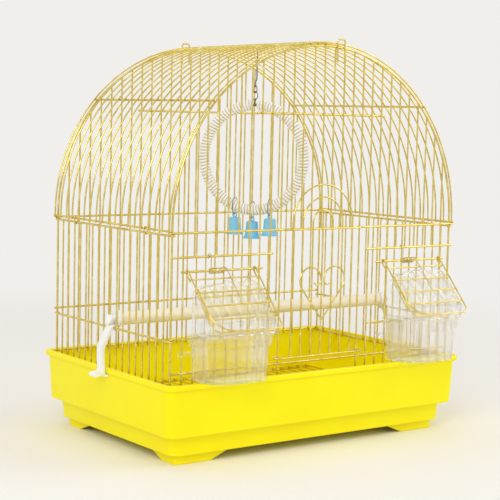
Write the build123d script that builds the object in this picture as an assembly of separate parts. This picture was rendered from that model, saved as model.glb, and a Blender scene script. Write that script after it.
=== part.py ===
from build123d import *
from math import asin, atan2, cos, degrees, hypot, pi, radians, sin, sqrt
import os

os.makedirs("parts", exist_ok=True)

# Lengths are in millimetres. X runs along the front, Y to the back, Z up from the table.
# The front panel faces -Y. Heights named "above the rim" start at the tray's rim.

# Wire
pitch = 12.15              # spacing of the front and back bars
side_pitch = 11.8          # spacing of the side bars and the roof arches
front_spaces = 28          # bar spaces between the two front posts
side_spaces = 18           # bar spaces between a front and a back post
bar_d = 1.6
flap_d = 1.4
frame_d = 2.1
wire_side_share = 0.84     # side of a wire's square section, of its thickness
slide_gap = 0.3            # clearance beside the sliding door's wires
touch_gap = 0.3            # clearance between separate bodies at rest
pin_gap = 0.1              # radial clearance on hinge wires
overrun = 1.0              # how far cuts run past what they cut

# Tray
tray_length = 360.0
tray_depth = 240.0
tray_forward = 1.0         # how far the tray's middle lies in front of the panels'
tray_height = 78.0
tray_corner_r = 10.0
tray_wall = 2.2
lip_out = 2.8
lip_tall = 5.3
body_draft = 1.95          # how much the upper body narrows towards its foot, each side
step_height = 28.6         # underside of the upper body
step_inset = 11.0          # lower body's top, measured in from the rim
well_inset = 15.5          # lower body's bottom
well_height = 9.5          # underside of the tray's floor
foot_inset = 21.2
foot_front = 40.0          # flat length of a foot along the front
foot_side = 22.0
foot_front_slope = 24.0
foot_side_slope = 25.0
foot_wall = 5.0
rib_thick = 2.5
rib_deep = 8.5
rib_tall = 32.0
rib_spaces = (-6.5, -0.5, 6.5)      # places of the support ribs, in bar spaces from the middle

# Heights of wires, above the rim
mid_above = 136.0
arch_over_mid = 4.0        # centre of the arches, above the middle wire
short_above = 114.0
hinge_above = 100.8
low_above = 40.2
back_low_above = 43.0
back_bottom_above = -0.85
bottom_above = 8.5
inner_above = 245.0
roof_edge_over_mid = 1.7
side_low_above = 38.05
side_bottom_above = -3.0
panel_dip = 4.5            # how far the bars reach down into the tray
hook_gap = 0.1             # between a side wire's hook and the front wire above it
arch_above = mid_above + arch_over_mid
roof_edge_above = mid_above + roof_edge_over_mid

# Wire lengths and places
wire_past_post = 2.4
door_bars = 3              # door bars on each side of the middle bar
feeder_first = 8           # first and last bar cut away at a feeder
feeder_last = 12
hinge_from = 70.0
hinge_to = 161.0
low_from = 60.0
short_from = 57.8
inner_half = 78.0
frame_steps = 27
roof_steps = 15
roof_rail_chord = 3        # roof arch chord that the lower pair of long wires lies on
bracket_spaces = 1.5
bracket_half = 4.4
bracket_above_arch = 6.8
bracket_leg = 22.0
bracket_steps = 4
tie_d = 1.0
tie_spaces = 5.5
tie_steps = 4

# Floor grille
grille_gap = 1.0           # to the tray's inner wall
grille_wire_count = 4

# Door
door_bottom_above = 13.5
door_arch_above = 142.0
door_travel = 118.5
door_steps = 10
staple_x = 44.0
guide_loop_tail = 3.0
guide_loop_steps = 6
heart_point_above = 47.9
heart_lobe_above = 86.5
heart_lobe_x = 14.6
heart_lobe_r = 12.8
heart_curl_r = 4.6
heart_curl_turn = 150.0
heart_steps = 8
curl_steps = 4

# Feeders
feeder_x = 117.0           # middle of a flap
flap_angle = 42.0          # from straight down, at rest
flap_length = 68.0
flap_half = 37.5
flap_corner_r = 7.0
flap_cross_down = (9.3, 24.0, 38.7, 53.4)
flap_return = 10.0
flap_loop_steps = 8
flap_corner_steps = 3
inner_wire_corner_r = 20.0
inner_wire_start = 20.0
spring_d = 1.0
spring_gap = 0.8           # between the hinge wire and the coil
spring_turns = 6
spring_pitch = 2.5
spring_x = -5.0            # middle of the coil, from the middle of the flap
spring_sides = 4
spring_tail = 2.5          # end of the fixed leg behind the short wire
spring_leg_long = 40.0
spring_points_count = 40   # points measured along each turn

cup_half = 34.5
cup_front = 38.0           # from the panel's front wires to the cup's front wall
cup_height_above = 45.0
cup_bottom_above = 2.5
cup_wall = 1.8
cup_floor = 2.0
cup_corner_r = 16.0
cup_corner_steps = 4
cup_draft = 1.5            # degrees
cup_flute_deep = 0.7       # upright creases in the cup's wall
cup_flute_count = 12
cup_flange = ((10.5, 2.6), (7.5, 3.4), (3.6, 4.1))      # steps of the rim: depth below the top, how far out
hanger_half = 26.0
hanger_wall = 1.5
hanger_drop = 5.0
ear_above = 27.0
ear_tall = 4.5
ear_reach = 9.0
ear_r = 3.2
ear_wall = 1.3
ear_sides = 8

hood_half = 36.5
hood_back = 7.0            # from the panel's front wires to the hood's back edge
hood_wall = 1.4
hood_corner_r = 9.0
hood_top_above = 91.5
hood_rise = 3.0            # from the left shoulder to the peak beside the dip
hood_lobe_r = 6.0          # round lobes on both sides of the dip
hood_dip = 3.8
hood_peak_share = 0.5      # places of the peak and the dip, along the hood's width
hood_dip_share = 0.72
hood_corner_steps = 4

# Perch
perch_d = 12.8
perch_spaces = -0.5        # its place, in bar spaces from the middle
cap_d = 15.5
cap_long = 4.6
cap_round = 1.5            # sloped rim at the cap's outer end
cap_slope = 40.0           # degrees
cap_wall = 1.3
cap_sides = 12
cap_neck_d = 7.0
cap_button_d = 9.0
cap_button_long = 4.0
perch_fit = 0.05

# Side clips
clip_wide = 9.6
clip_thick = 3.0
clip_ring_wall = 1.85
clip_elbow_past_lip = 1.8
clip_elbow_down = 18.0     # down from the low side wire
clip_foot_past_lip = 2.7
clip_hook_gap = 0.6
clip_hook_thick = 2.6
clip_tab_past_lip = 12.4
clip_tab_below_lip = 0.8
clip_tab_thick = 3.3
clip_mouth = 1.2           # half the opening of the clip's snap ring

# Toy
hook_d = 1.4
toy_turn = -54.4           # degrees that the hoop's plane is turned from the front
hook_shank = 36.0
hook_turn = 200.0          # how far the crook goes round the roof's wire, in degrees
eye_r = 2.2
eye_d = 1.0
eye_steps = 10
link_long = 14.0            # between the middles of its end bends
chain_gap = 0.2             # between linked rings
link_r = 1.9
link_d = 1.0
hoop_r = 53.5
hoop_d = 12.0
hoop_core_d = 3.0
hoop_gap_turn = 5.0        # degrees of bare core at the top of the hoop
hoop_steps = 24
hoop_sides = 8
core_fit = 0.1
bell_turn = 20.8           # degrees along the hoop from its foot to an outer bell
ring_d = 0.8
ring_gap = 2.25
ring_steps = 12
bell_flare_r = 10.0
bell_waist_r = 6.8
bell_top_r = 6.0
bell_tall = 17.5
bell_flare_tall = 5.0
bell_wall = 1.2
bell_sides = 18
bell_loop_sink = 0.4        # how deep the loop is moulded into the bell's top
bell_loop_r = 2.1
bell_loop_d = 1.3
bell_loop_steps = 10
clapper_d = 1.0
clapper_weight_d = 4.2
clapper_weight_tall = 4.0
clapper_below_share = 0.86

rim = tray_height


def flat(thickness):
    # From a wire's centre line to one of its four flats
    return thickness / 2 * wire_side_share


def edge(thickness):
    # From a wire's centre line to one of its four edges
    return flat(thickness) * sqrt(2)


# Places worked out from the sizes above
front_half = pitch * front_spaces / 2
side_half = side_pitch * side_spaces / 2
front_face = -side_half - flat(bar_d)              # front of the upright bars
post_y = front_face + flat(frame_d)
cross_y = front_face - flat(frame_d)               # wires welded in front of the bars
wires_y = front_face - 2 * flat(frame_d)           # front of those wires
hinge_y = front_face - frame_d / 2
side_face = front_half + flat(frame_d)             # outer side of the posts
side_wire_x = side_face + flat(frame_d)
side_bar_x = side_face - flat(bar_d)
side_top_above = mid_above - frame_d - hook_gap
door_y = wires_y - slide_gap - flat(bar_d)
heart_y = door_y - 2 * flat(bar_d)
staple_y = heart_y - flat(bar_d) - slide_gap - flat(bar_d)
rail_r = side_face + flat(frame_d)                 # long roof wires, from the arches' centre
roof_flat_r = rail_r + flat(frame_d) + flat(bar_d)
roof_r = roof_flat_r / cos(pi / roof_steps / 2)
roof_edge_x = roof_r - flat(bar_d) - flat(frame_d)
loop_r = frame_d / 2 + pin_gap + flap_d / 2        # flap loops round their hinge wire
flap_inner = loop_r - 2 * flat(flap_d)             # cross wires, out from the hinge axis
hood_plane = flap_inner - flat(flap_d) - touch_gap
flap_a = radians(flap_angle)
cup_back_y = wires_y - touch_gap
cup_front_y = wires_y - cup_front
front_reach = -hinge_y + flap_length * sin(flap_a) + loop_r * cos(flap_a) + flat(flap_d)
depth_shift = (front_reach - tray_depth / 2 + tray_forward) / 2


def bar(start, end, thickness, face):
    # Straight wire with one flat turned to face
    along = Vector(*end) - Vector(*start)
    place = Plane(origin=start, x_dir=Vector(*face).cross(along), z_dir=along)
    side = 2 * flat(thickness)
    return extrude(place * Rectangle(side, side), amount=along.length)


def bent(points, thickness, face):
    # Wire bent along points, its first flat turned to face
    along = Vector(*points[1]) - Vector(*points[0])
    place = Plane(origin=points[0], x_dir=Vector(*face).cross(along), z_dir=along)
    side = 2 * flat(thickness)
    return sweep(place * Rectangle(side, side), path=Polyline(*points), transition=Transition.RIGHT)


def round_tube(points, thickness, across):
    # Thick round bend along points, drawn with flats
    along = Vector(*points[1]) - Vector(*points[0])
    place = Plane(origin=points[0], x_dir=Vector(*across).cross(along), z_dir=along)
    section = place * RegularPolygon(thickness / 2, hoop_sides)
    return sweep(section, path=Polyline(*points), transition=Transition.RIGHT)


def arc(centre, radius, start, end, steps):
    # Points on a flat arc, angles in degrees
    turns = [radians(start + (end - start) * n / steps) for n in range(steps + 1)]
    return [(centre[0] + radius * cos(t), centre[1] + radius * sin(t)) for t in turns]


def in_xz(points, y):
    return [(u, y, v) for u, v in points]


def in_yz(points, x):
    return [(x, u, v) for u, v in points]


def in_xy(points, z):
    return [(u, v, z) for u, v in points]


def closed_ring(centre, radius, thickness, steps, across):
    # Ring of wire with flat sides, standing in the plane across a direction
    place = Plane(origin=centre, z_dir=across)
    inner = radius - thickness / 2
    outer = radius + thickness / 2
    band = RegularPolygon(outer, steps) - RegularPolygon(inner, steps)
    return extrude(place * band, amount=thickness / 2, both=True)


def save(node, *shapes):
    solids = [s for shape in shapes for s in shape.solids()]
    moved = [s.moved(Location((0, depth_shift, 0))) for s in solids]
    export_step(Compound(children=moved), f"parts/{node}.step")


def rounded_plan(inset, z):
    length = tray_length - 2 * inset
    depth = tray_depth - 2 * inset
    return Pos(0, 0, z) * RectangleRounded(length, depth, tray_corner_r)


def hollow_plan(inset, z):
    # The same outline on the inside of the tray's wall
    length = tray_length - 2 * (inset + tray_wall)
    depth = tray_depth - 2 * (inset + tray_wall)
    return Pos(0, 0, z) * RectangleRounded(length, depth, tray_corner_r - tray_wall)


def tray_foot():
    # One L-shaped foot, at the left front corner
    x = -tray_length / 2 + foot_inset
    y = -tray_depth / 2 + foot_inset
    front = Polygon(
        (x, 0), (x + foot_front, 0), (x + foot_front + foot_front_slope, well_height),
        (x, well_height), align=None)
    side = Polygon(
        (y, 0), (y + foot_side, 0), (y + foot_side + foot_side_slope, well_height),
        (y, well_height), align=None)
    front_leg = extrude(Plane(origin=(0, y, 0), x_dir=(1, 0, 0), z_dir=(0, -1, 0)) * front,
                        amount=-foot_wall)
    side_leg = extrude(Plane(origin=(x, 0, 0), x_dir=(0, 1, 0), z_dir=(1, 0, 0)) * side,
                       amount=foot_wall)
    return front_leg + side_leg


def tray_rib(spaces):
    # Upright rib inside the left wall, which carries the side panel's bottom wire
    top = rim + side_bottom_above - flat(frame_d)
    wall_x = -tray_length / 2 + lip_out + tray_wall / 2
    inner_x = -side_wire_x + rib_deep / 2
    shape = Polygon((wall_x, top), (inner_x, top), (wall_x + body_draft, top - rib_tall),
                    (wall_x, top - rib_tall), align=None)
    y = spaces * side_pitch + rib_thick / 2
    return extrude(Plane(origin=(0, y, 0), x_dir=(1, 0, 0), z_dir=(0, -1, 0)) * shape,
                   amount=rib_thick)


def tray():
    body_inset = lip_out + body_draft
    ledge = step_height + tray_wall
    floor = well_height + tray_wall
    lip = extrude(rounded_plan(0, rim - lip_tall), amount=lip_tall)
    upper = loft([rounded_plan(body_inset, step_height), rounded_plan(lip_out, rim)])
    lower = loft([rounded_plan(well_inset, well_height), rounded_plan(step_inset, step_height)])
    basin = loft([hollow_plan(body_inset, ledge), hollow_plan(lip_out, rim + overrun)])
    well = loft([hollow_plan(well_inset, floor), hollow_plan(step_inset, ledge + overrun)])
    shell = lip + upper + lower - basin - well
    for spaces in rib_spaces:
        rib = tray_rib(spaces)
        shell = shell + rib + mirror(rib, about=Plane.YZ)
    foot = tray_foot()
    front_feet = foot + mirror(foot, about=Plane.YZ)
    whole = shell + front_feet + mirror(front_feet, about=Plane.XZ)
    return Pos(0, -tray_forward, 0) * whole


def floor_grille():
    ledge = step_height + tray_wall
    body_inset = lip_out + body_draft
    half_y = tray_depth / 2 - body_inset - tray_wall - grille_gap
    half_x = tray_length / 2 - body_inset - tray_wall - grille_gap
    low_z = ledge + flat(frame_d)
    high_z = low_z + flat(frame_d) + flat(bar_d)
    rows = grille_wire_count - 1
    row_y = half_y - frame_d
    wires = []
    for n in range(rows + 1):
        y = row_y * (2 * n / rows - 1)
        end = half_x - (tray_corner_r if n in (0, rows) else 0)
        wires.append(bar((-end, y, low_z), (end, y, low_z), frame_d, (0, 0, 1)))
    across = int((half_x - tray_corner_r) / pitch)
    wires += [bar((k * pitch, -half_y, high_z), (k * pitch, half_y, high_z), bar_d, (0, 0, 1))
              for k in range(-across, across + 1)]
    return [Pos(0, -tray_forward, 0) * wire for wire in wires]


def arched_frame():
    # Posts and arch in one bent wire
    foot = (front_half, rim - panel_dip)
    curve = arc((0, rim + arch_above), front_half, 0, 180, frame_steps)
    outline = [foot] + curve + [(-foot[0], foot[1])]
    return bent(in_xz(outline, post_y), frame_d, (0, -1, 0))


def arch_height(x):
    # Height at which a bar meets the arch's inner side
    inner = front_half * cos(pi / frame_steps / 2) - flat(frame_d)
    return rim + arch_above + sqrt(inner**2 - (abs(x) + flat(bar_d))**2)


def upright(k, low, high):
    x = k * pitch
    return bar((x, -side_half, low), (x, -side_half, high), bar_d, (0, -1, 0))


def cross_wire(x0, x1, above):
    z = rim + above
    return bar((x0, cross_y, z), (x1, cross_y, z), frame_d, (0, -1, 0))


def bracket(spaces):
    # Wire bow that stands up over the arch
    x = spaces * pitch
    top = rim + arch_above + front_half + bracket_above_arch
    low = top - bracket_leg
    bend = bracket_half / 2
    left = arc((x - bracket_half + bend, top - bend), bend, 180, 90, bracket_steps)
    right = arc((x + bracket_half - bend, top - bend), bend, 90, 0, bracket_steps)
    line = [(x - bracket_half, low)] + left + right + [(x + bracket_half, low)]
    return bent(in_xz(line, front_face - flat(bar_d)), bar_d, (0, -1, 0))


def inner_wire():
    y = -side_half + flat(bar_d) + flat(frame_d)
    z = rim + inner_above
    return bar((-inner_half, y, z), (inner_half, y, z), frame_d, (0, -1, 0))


def front_panel():
    base = rim - panel_dip
    last = front_spaces // 2
    pieces = [arched_frame(), inner_wire(), bracket(bracket_spaces)]
    for k in range(1 - last, last):
        top = arch_height(k * pitch)
        if abs(k) <= door_bars:
            pieces.append(upright(k, rim + mid_above - frame_d / 2, top))
        elif feeder_first <= abs(k) <= feeder_last:
            pieces.append(upright(k, base, rim + low_above + frame_d / 2))
            pieces.append(upright(k, rim + short_above - frame_d / 2, top))
        else:
            pieces.append(upright(k, base, top))
    end = front_half + wire_past_post
    pieces.append(cross_wire(-end, end, mid_above))
    pieces.append(cross_wire(-end, end, bottom_above))
    for side in (-1, 1):
        pieces.append(cross_wire(side * short_from, side * end, short_above))
        pieces.append(cross_wire(side * low_from, side * end, low_above))
    return pieces


def hinge_wire(side):
    middle = side * (hinge_from + hinge_to) / 2
    place = Plane(origin=(middle, hinge_y, rim + hinge_above), z_dir=(1, 0, 0))
    return place * Cylinder(frame_d / 2, hinge_to - hinge_from)


def door_staple():
    # Wire across the front that keeps the door against the panel
    z = rim + mid_above
    line = [(-staple_x, wires_y), (-staple_x, staple_y), (staple_x, staple_y), (staple_x, wires_y)]
    return bent(in_xy(line, z), bar_d, (0, 0, 1))


def back_panel():
    base = rim - panel_dip
    last = front_spaces // 2
    pieces = [arched_frame(), inner_wire(), bracket(bracket_spaces)]
    pieces += [upright(k, base, arch_height(k * pitch)) for k in range(1 - last, last)]
    end = front_half + wire_past_post
    heights = (mid_above, back_low_above, back_bottom_above)
    pieces += [cross_wire(-end, end, above) for above in heights]
    return [Rot(0, 0, 180) * piece for piece in pieces]


def hooked_wire(above):
    # Side wire whose ends are bent round the front and back posts
    reach = side_wire_x - front_half
    inner = front_half - reach
    outer = front_half + reach
    line = [(inner, post_y), (inner, post_y - reach), (outer, post_y - reach),
            (outer, reach - post_y), (inner, reach - post_y), (inner, -post_y)]
    return bent(in_xy(line, rim + above), frame_d, (0, 0, 1))


def side_panel():
    # The right-hand side
    top = rim + side_top_above + frame_d / 2
    last = side_spaces // 2
    places = [j * side_pitch for j in range(1 - last, last)]
    pieces = [bar((side_bar_x, y, rim - panel_dip), (side_bar_x, y, top), bar_d, (1, 0, 0))
              for y in places]
    pieces += [hooked_wire(above) for above in (side_top_above, side_low_above, side_bottom_above)]
    return pieces


def roof_arch(j):
    centre = (0, rim + arch_above)
    ends = rim + mid_above
    line = [(roof_r, ends)] + arc(centre, roof_r, 0, 180, roof_steps) + [(-roof_r, ends)]
    return bent(in_xz(line, j * side_pitch), bar_d, (1, 0, 0))


def roof_rail(angle):
    # Long wire under the arches
    t = radians(angle)
    x = rail_r * cos(t)
    z = rim + arch_above + rail_r * sin(t)
    end = side_half + frame_d + overrun
    return bar((x, -end, z), (x, end, z), frame_d, (cos(t), 0, sin(t)))


def roof_edge(side):
    x = side * roof_edge_x
    z = rim + roof_edge_above
    end = side_half + frame_d + overrun
    return bar((x, -end, z), (x, end, z), frame_d, (1, 0, 0))


def roof_panel():
    last = side_spaces // 2
    first = roof_arch(-last)
    pieces = [Pos(0, n * side_pitch, 0) * first for n in range(side_spaces + 1)]
    chord = 180 / roof_steps
    low = chord * (roof_rail_chord + 1 / 2)
    pieces += [roof_rail(angle) for angle in (low, 90, 180 - low)]
    pieces += [roof_edge(side) for side in (-1, 1)]
    return pieces


def roof_ties():
    # Oval rings round the roof's edge wire and the side panel's top wire
    radius = edge(frame_d) + pin_gap + edge(tie_d)
    low = rim + side_top_above
    high = rim + roof_edge_above
    meet = (low + high) / 2
    line = [(side_wire_x - radius, meet - slide_gap)]
    line += arc((side_wire_x, low), radius, -180, 0, tie_steps)
    line += arc((roof_edge_x, high), radius, 0, 180, tie_steps)
    line.append((roof_edge_x - radius, meet + slide_gap))
    y = tie_spaces * side_pitch
    tie = bent(in_xz(line, y), tie_d, (0, 1, 0))
    pair = [tie, mirror(tie, about=Plane.XZ)]
    return pair + [mirror(t, about=Plane.YZ) for t in pair]


def door_arch(k):
    x = k * pitch
    low = rim + door_bottom_above - frame_d / 2
    line = [(x, low)] + arc((0, rim + door_arch_above), x, 0, 180, door_steps) + [(-x, low)]
    return bent(in_xz(line, door_y), bar_d, (0, -1, 0))


def door_guide_wire():
    # Bottom wire, its ends bent round the two guide bars
    y = door_y - 2 * flat(bar_d)
    guide_x = (door_bars + 1) * pitch
    r = -side_half - y
    right = arc((guide_x, -side_half), r, -90, 90, guide_loop_steps)
    tail = (guide_x - guide_loop_tail, -side_half + r)
    half = right + [tail]
    line = [(-u, v) for u, v in half[::-1]] + half
    return bent(in_xy(line, rim + door_bottom_above), bar_d, (0, 0, 1))


def heart():
    # Both lobes and their curled ends in one wire
    point = (0, rim + heart_point_above)
    centre = (heart_lobe_x, rim + heart_lobe_above)
    away = hypot(heart_lobe_x, centre[1] - point[1])
    # Angle at which a line from the point touches the lobe
    start = degrees(atan2(point[1] - centre[1], -heart_lobe_x)) + degrees(atan2(
        sqrt(away**2 - heart_lobe_r**2), heart_lobe_r))
    lobe = arc(centre, heart_lobe_r, start, 180, heart_steps)
    inner = (centre[0] - heart_lobe_r + heart_curl_r, centre[1])
    curl = arc(inner, heart_curl_r, 180, 180 + heart_curl_turn, curl_steps)[1:]
    half = lobe + curl
    line = [(-u, v) for u, v in half[::-1]] + [point] + half
    return bent(in_xz(line, heart_y), bar_d, (0, -1, 0))


def front_door():
    pieces = [door_arch(k) for k in range(1, door_bars + 1)]
    low = rim + door_bottom_above - frame_d / 2
    top = rim + door_arch_above + (pitch - bar_d / 2) * cos(pi / door_steps / 2)
    pieces.append(bar((0, door_y, low), (0, door_y, top), bar_d, (0, -1, 0)))
    return pieces + [door_guide_wire(), heart()]


def on_flap(x, down, out):
    # A point of the flap at rest: down along it from the hinge axis, and out from it
    return (x, hinge_y - down * sin(flap_a) - out * cos(flap_a),
            rim + hinge_above - down * cos(flap_a) + out * sin(flap_a))


def flap_side(x, down):
    # Side wire of a flap: returned end, loop round the hinge wire, then down
    turn = arc((0, 0), loop_r, -90, 90, flap_loop_steps)
    loop = [on_flap(x, -v, w) for v, w in turn]
    return [on_flap(x, flap_return, -loop_r)] + loop + [on_flap(x, down, loop_r)]


def feeder_flap():
    corner = flap_corner_r
    turns = arc((0, 0), corner, 180, 90, flap_corner_steps)
    left = flap_side(-flap_half, flap_length - corner)
    bend = [on_flap(-flap_half + corner + u, flap_length - corner + v, loop_r)
            for u, v in turns[1:]]
    right = [(-x, y, z) for x, y, z in (left + bend)[::-1]]
    outline = bent(left + bend + right, flap_d, (1, 0, 0))
    half = flap_half - flap_corner_r / 2
    across = on_flap(0, 0, -1)
    inward = (0, across[1] - hinge_y, across[2] - rim - hinge_above)
    crosses = [bar(on_flap(-flap_half - flap_d, down, flap_inner),
                   on_flap(flap_half + flap_d, down, flap_inner), flap_d, inward)
               for down in flap_cross_down]
    return [outline, second_wire(inward)] + crosses


def second_wire(inward):
    # Doubled wire beside the left side wire, which runs into the bottom bar
    x = -flap_half + flap_d
    corner = inner_wire_corner_r
    turns = arc((0, 0), corner, 180, 90, 2 * flap_corner_steps)
    low = flap_length - flap_d
    line = [on_flap(x, inner_wire_start, loop_r)]
    line += [on_flap(x + corner + u, low - corner + v, loop_r) for u, v in turns]
    return bent(line, flap_d, inward)


def biarc(p0, t0, p1, t1):
    # Joint and its direction for two arcs between two points with given directions
    chord = p1 - p0
    both = t0 + t1
    square = both.dot(both) - 4
    half = chord.dot(both)
    reach = (half - sqrt(half**2 - square * chord.dot(chord))) / square
    q0 = p0 + t0 * reach
    q1 = p1 - t1 * reach
    return (q0 + q1) * 0.5, (q1 - q0).normalized()


coil_r = frame_d / 2 + spring_gap + spring_d / 2


def coil_point(turn):
    # On the coil round the hinge axis, turns counted from its left end
    t = 2 * pi * turn
    x = spring_x + spring_pitch * (turn - spring_turns / 2)
    return Vector(x, hinge_y - coil_r * cos(t), rim + hinge_above - coil_r * sin(t))


def coil_way(turn):
    t = 2 * pi * turn
    return Vector(spring_pitch / 2 / pi, coil_r * sin(t), -coil_r * cos(t)).normalized()


def coil_arcs(start, end):
    # Half turns, each of two arcs
    edges = []
    for n in range(round(2 * (end - start))):
        p0, t0 = coil_point(start + n / 2), coil_way(start + n / 2)
        p1, t1 = coil_point(start + n / 2 + 1 / 2), coil_way(start + n / 2 + 1 / 2)
        middle, way = biarc(p0, t0, p1, t1)
        edges.append(TangentArc(p0, middle, tangent=t0))
        edges.append(TangentArc(middle, p1, tangent=way))
    return edges


def wound(edges, start, way):
    place = Plane(origin=start, x_dir=(1, 0, 0), z_dir=way)
    return sweep(place * RegularPolygon(spring_d / 2, spring_sides), path=Wire(edges))


def spring_coil():
    # Fixed leg, hooked over the short wire above, and the coil, in one tube
    start = coil_point(0)
    way = coil_way(0)
    bend = cross_y - start.Y
    front = start - way * ((rim + short_above - start.Z) / -way.Z)
    x = front.X
    y = front.Y
    z = front.Z
    over = ThreePointArc((x, y + 2 * bend, z), (x, y + bend, z + bend), (x, y, z))
    tail = Line((x, y + 2 * bend, z - spring_tail), (x, y + 2 * bend, z))
    edges = [tail, over, Line((x, y, z), (start.X, start.Y, start.Z))]
    return wound(edges + coil_arcs(0, spring_turns), Vector(x, y + 2 * bend, z - spring_tail), Vector(0, 0, 1))


def spring_leg():
    # Moving leg: half a turn round the hinge wire, then down the flap
    end = spring_turns + 1 - flap_angle / 360
    last = coil_point(end)
    way = Vector(0, -sin(flap_a), -cos(flap_a))
    foot = last + way * spring_leg_long
    edges = coil_arcs(end - 1 / 2, end) + [Line(last, foot)]
    return wound(edges, coil_point(end - 1 / 2), coil_way(end - 1 / 2))


def spring_gap_to_self():
    # Least gap between neighbouring turns, on points along the coil
    count = spring_points_count
    points = [coil_point(n / count) for n in range(count * spring_turns + 1)]
    gaps = [(p - q).length for n, p in enumerate(points) for q in points[n + count // 2:]]
    return min(gaps) - spring_d


def cup_outline(grow):
    # Plan of the cup moved out by grow; its back stays flat behind the panel's wires
    r = cup_corner_r + grow
    x = cup_half - cup_corner_r
    corner = arc((x, cup_front_y + cup_corner_r), r, 0, -90, cup_corner_steps)
    half = [(cup_half + grow, cup_back_y + min(grow, 0))] + corner
    return half + [(-u, v) for u, v in half[::-1]]


def fluted_outline():
    # The cup's plan at its top, with an upright crease between every two flutes
    side = cup_half
    front = cup_front_y
    line = FilletPolyline((side, cup_back_y), (side, front), (-side, front), (-side, cup_back_y),
                          radius=cup_corner_r)
    steps = 2 * cup_flute_count
    points = []
    for n in range(steps + 1):
        place = line.position_at(n / steps)
        way = line.tangent_at(n / steps)
        deep = cup_flute_deep if n % 2 == 0 and 0 < n < steps else 0
        points.append((place.X + way.Y * deep, place.Y - way.X * deep))
    return points


def feeder_cup():
    top = rim + cup_height_above
    tall = cup_height_above - cup_bottom_above
    downward = Plane(origin=(0, 0, top), x_dir=(1, 0, 0), z_dir=(0, 0, -1))
    outer = Polygon(*[(u, -v) for u, v in fluted_outline()], align=None)
    inner = Polygon(*[(u, -v) for u, v in cup_outline(-cup_wall)], align=None)
    body = extrude(downward * outer, amount=tall, taper=cup_draft)
    hollow = extrude(downward * inner, amount=tall - cup_floor, taper=cup_draft)
    for deep, out in cup_flange:
        band = Pos(0, 0, top - deep) * Polygon(*cup_outline(out)[::-1], align=None)
        body += extrude(band, amount=deep)
    return body - hollow + cup_hanger() + cup_ears()


def cup_hanger():
    # Lip behind the cup that hooks over the low wire
    z = rim + low_above + frame_d / 2 + touch_gap
    back = -side_half + flat(bar_d) + touch_gap + hanger_wall
    front = cup_back_y - cup_wall
    top = z + hanger_wall
    shape = Polygon((front, z), (back - hanger_wall, z), (back - hanger_wall, z - hanger_drop),
                    (back, z - hanger_drop), (back, top), (front, top), align=None)
    place = Plane(origin=(-hanger_half, 0, 0), x_dir=(0, 1, 0), z_dir=(1, 0, 0))
    return extrude(place * shape, amount=2 * hanger_half)


def cup_ears():
    # Curled ears beside the cup
    z = rim + ear_above
    y = cup_back_y - ear_wall
    tip = cup_half + ear_reach
    strip = Pos((cup_half + tip - cup_wall) / 2, y, z) * Box(ear_reach + cup_wall, ear_wall, ear_tall)
    place = Plane(origin=(tip + ear_r - ear_wall, y, z), z_dir=(0, 1, 0))
    outer = RegularPolygon(ear_r, ear_sides)
    curl = extrude(place * (outer - RegularPolygon(ear_r - ear_wall, ear_sides)),
                   amount=ear_wall / 2, both=True)
    ear = strip + curl
    return ear + mirror(ear, about=Plane.YZ)


def hood_outline(inset):
    # Front view of a hood: upright sides, rounded shoulders and two lobes with a dip between them
    half = hood_half - inset
    low = rim + cup_height_above - (overrun if inset else 0)
    top = rim + hood_top_above
    shoulder = hood_corner_r - inset
    lobe = hood_lobe_r - inset
    meet = degrees(asin(1 - hood_dip / hood_lobe_r))
    reach = hood_lobe_r * cos(radians(meet))
    stop = 0 if inset else meet
    dip_x = hood_half * (2 * hood_dip_share - 1)
    peak_x = hood_half * (2 * hood_peak_share - 1)
    in_x = hood_half - hood_corner_r
    lobe_z = top - hood_lobe_r
    line = [(-half, low)]
    line += arc((-in_x, top - hood_rise - hood_corner_r), shoulder, 180, 90, hood_corner_steps)
    line.append((peak_x, top - inset))
    line += arc((dip_x - reach, lobe_z), lobe, 90, stop, hood_corner_steps)
    line += arc((dip_x + reach, lobe_z), lobe, 180 - stop, 90, hood_corner_steps)[0 if inset else 1:]
    line += arc((in_x, top - hood_corner_r), shoulder, 90, 0, hood_corner_steps)
    return Polygon((half, low), *line[::-1], align=None)


def hood_solid(inset, slope):
    # Outline run forward from the back edge and cut along the flap's slope
    back = wires_y - hood_back + (overrun if inset else 0)
    front = cup_front_y + inset
    place = Plane(origin=(0, back, 0), x_dir=(1, 0, 0), z_dir=(0, -1, 0))
    block = extrude(place * hood_outline(inset), amount=back - front)
    corner = on_flap(0, 0, slope)
    cutter_plane = Plane(origin=corner, x_dir=(1, 0, 0),
                         z_dir=(0, -cos(flap_a), sin(flap_a)))
    size = 4 * flap_length
    return block - extrude(cutter_plane * Rectangle(size, size), amount=size)


def feeder_hood():
    shell = hood_solid(0, hood_plane) - hood_solid(hood_wall, hood_plane - hood_wall)
    return shell


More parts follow.
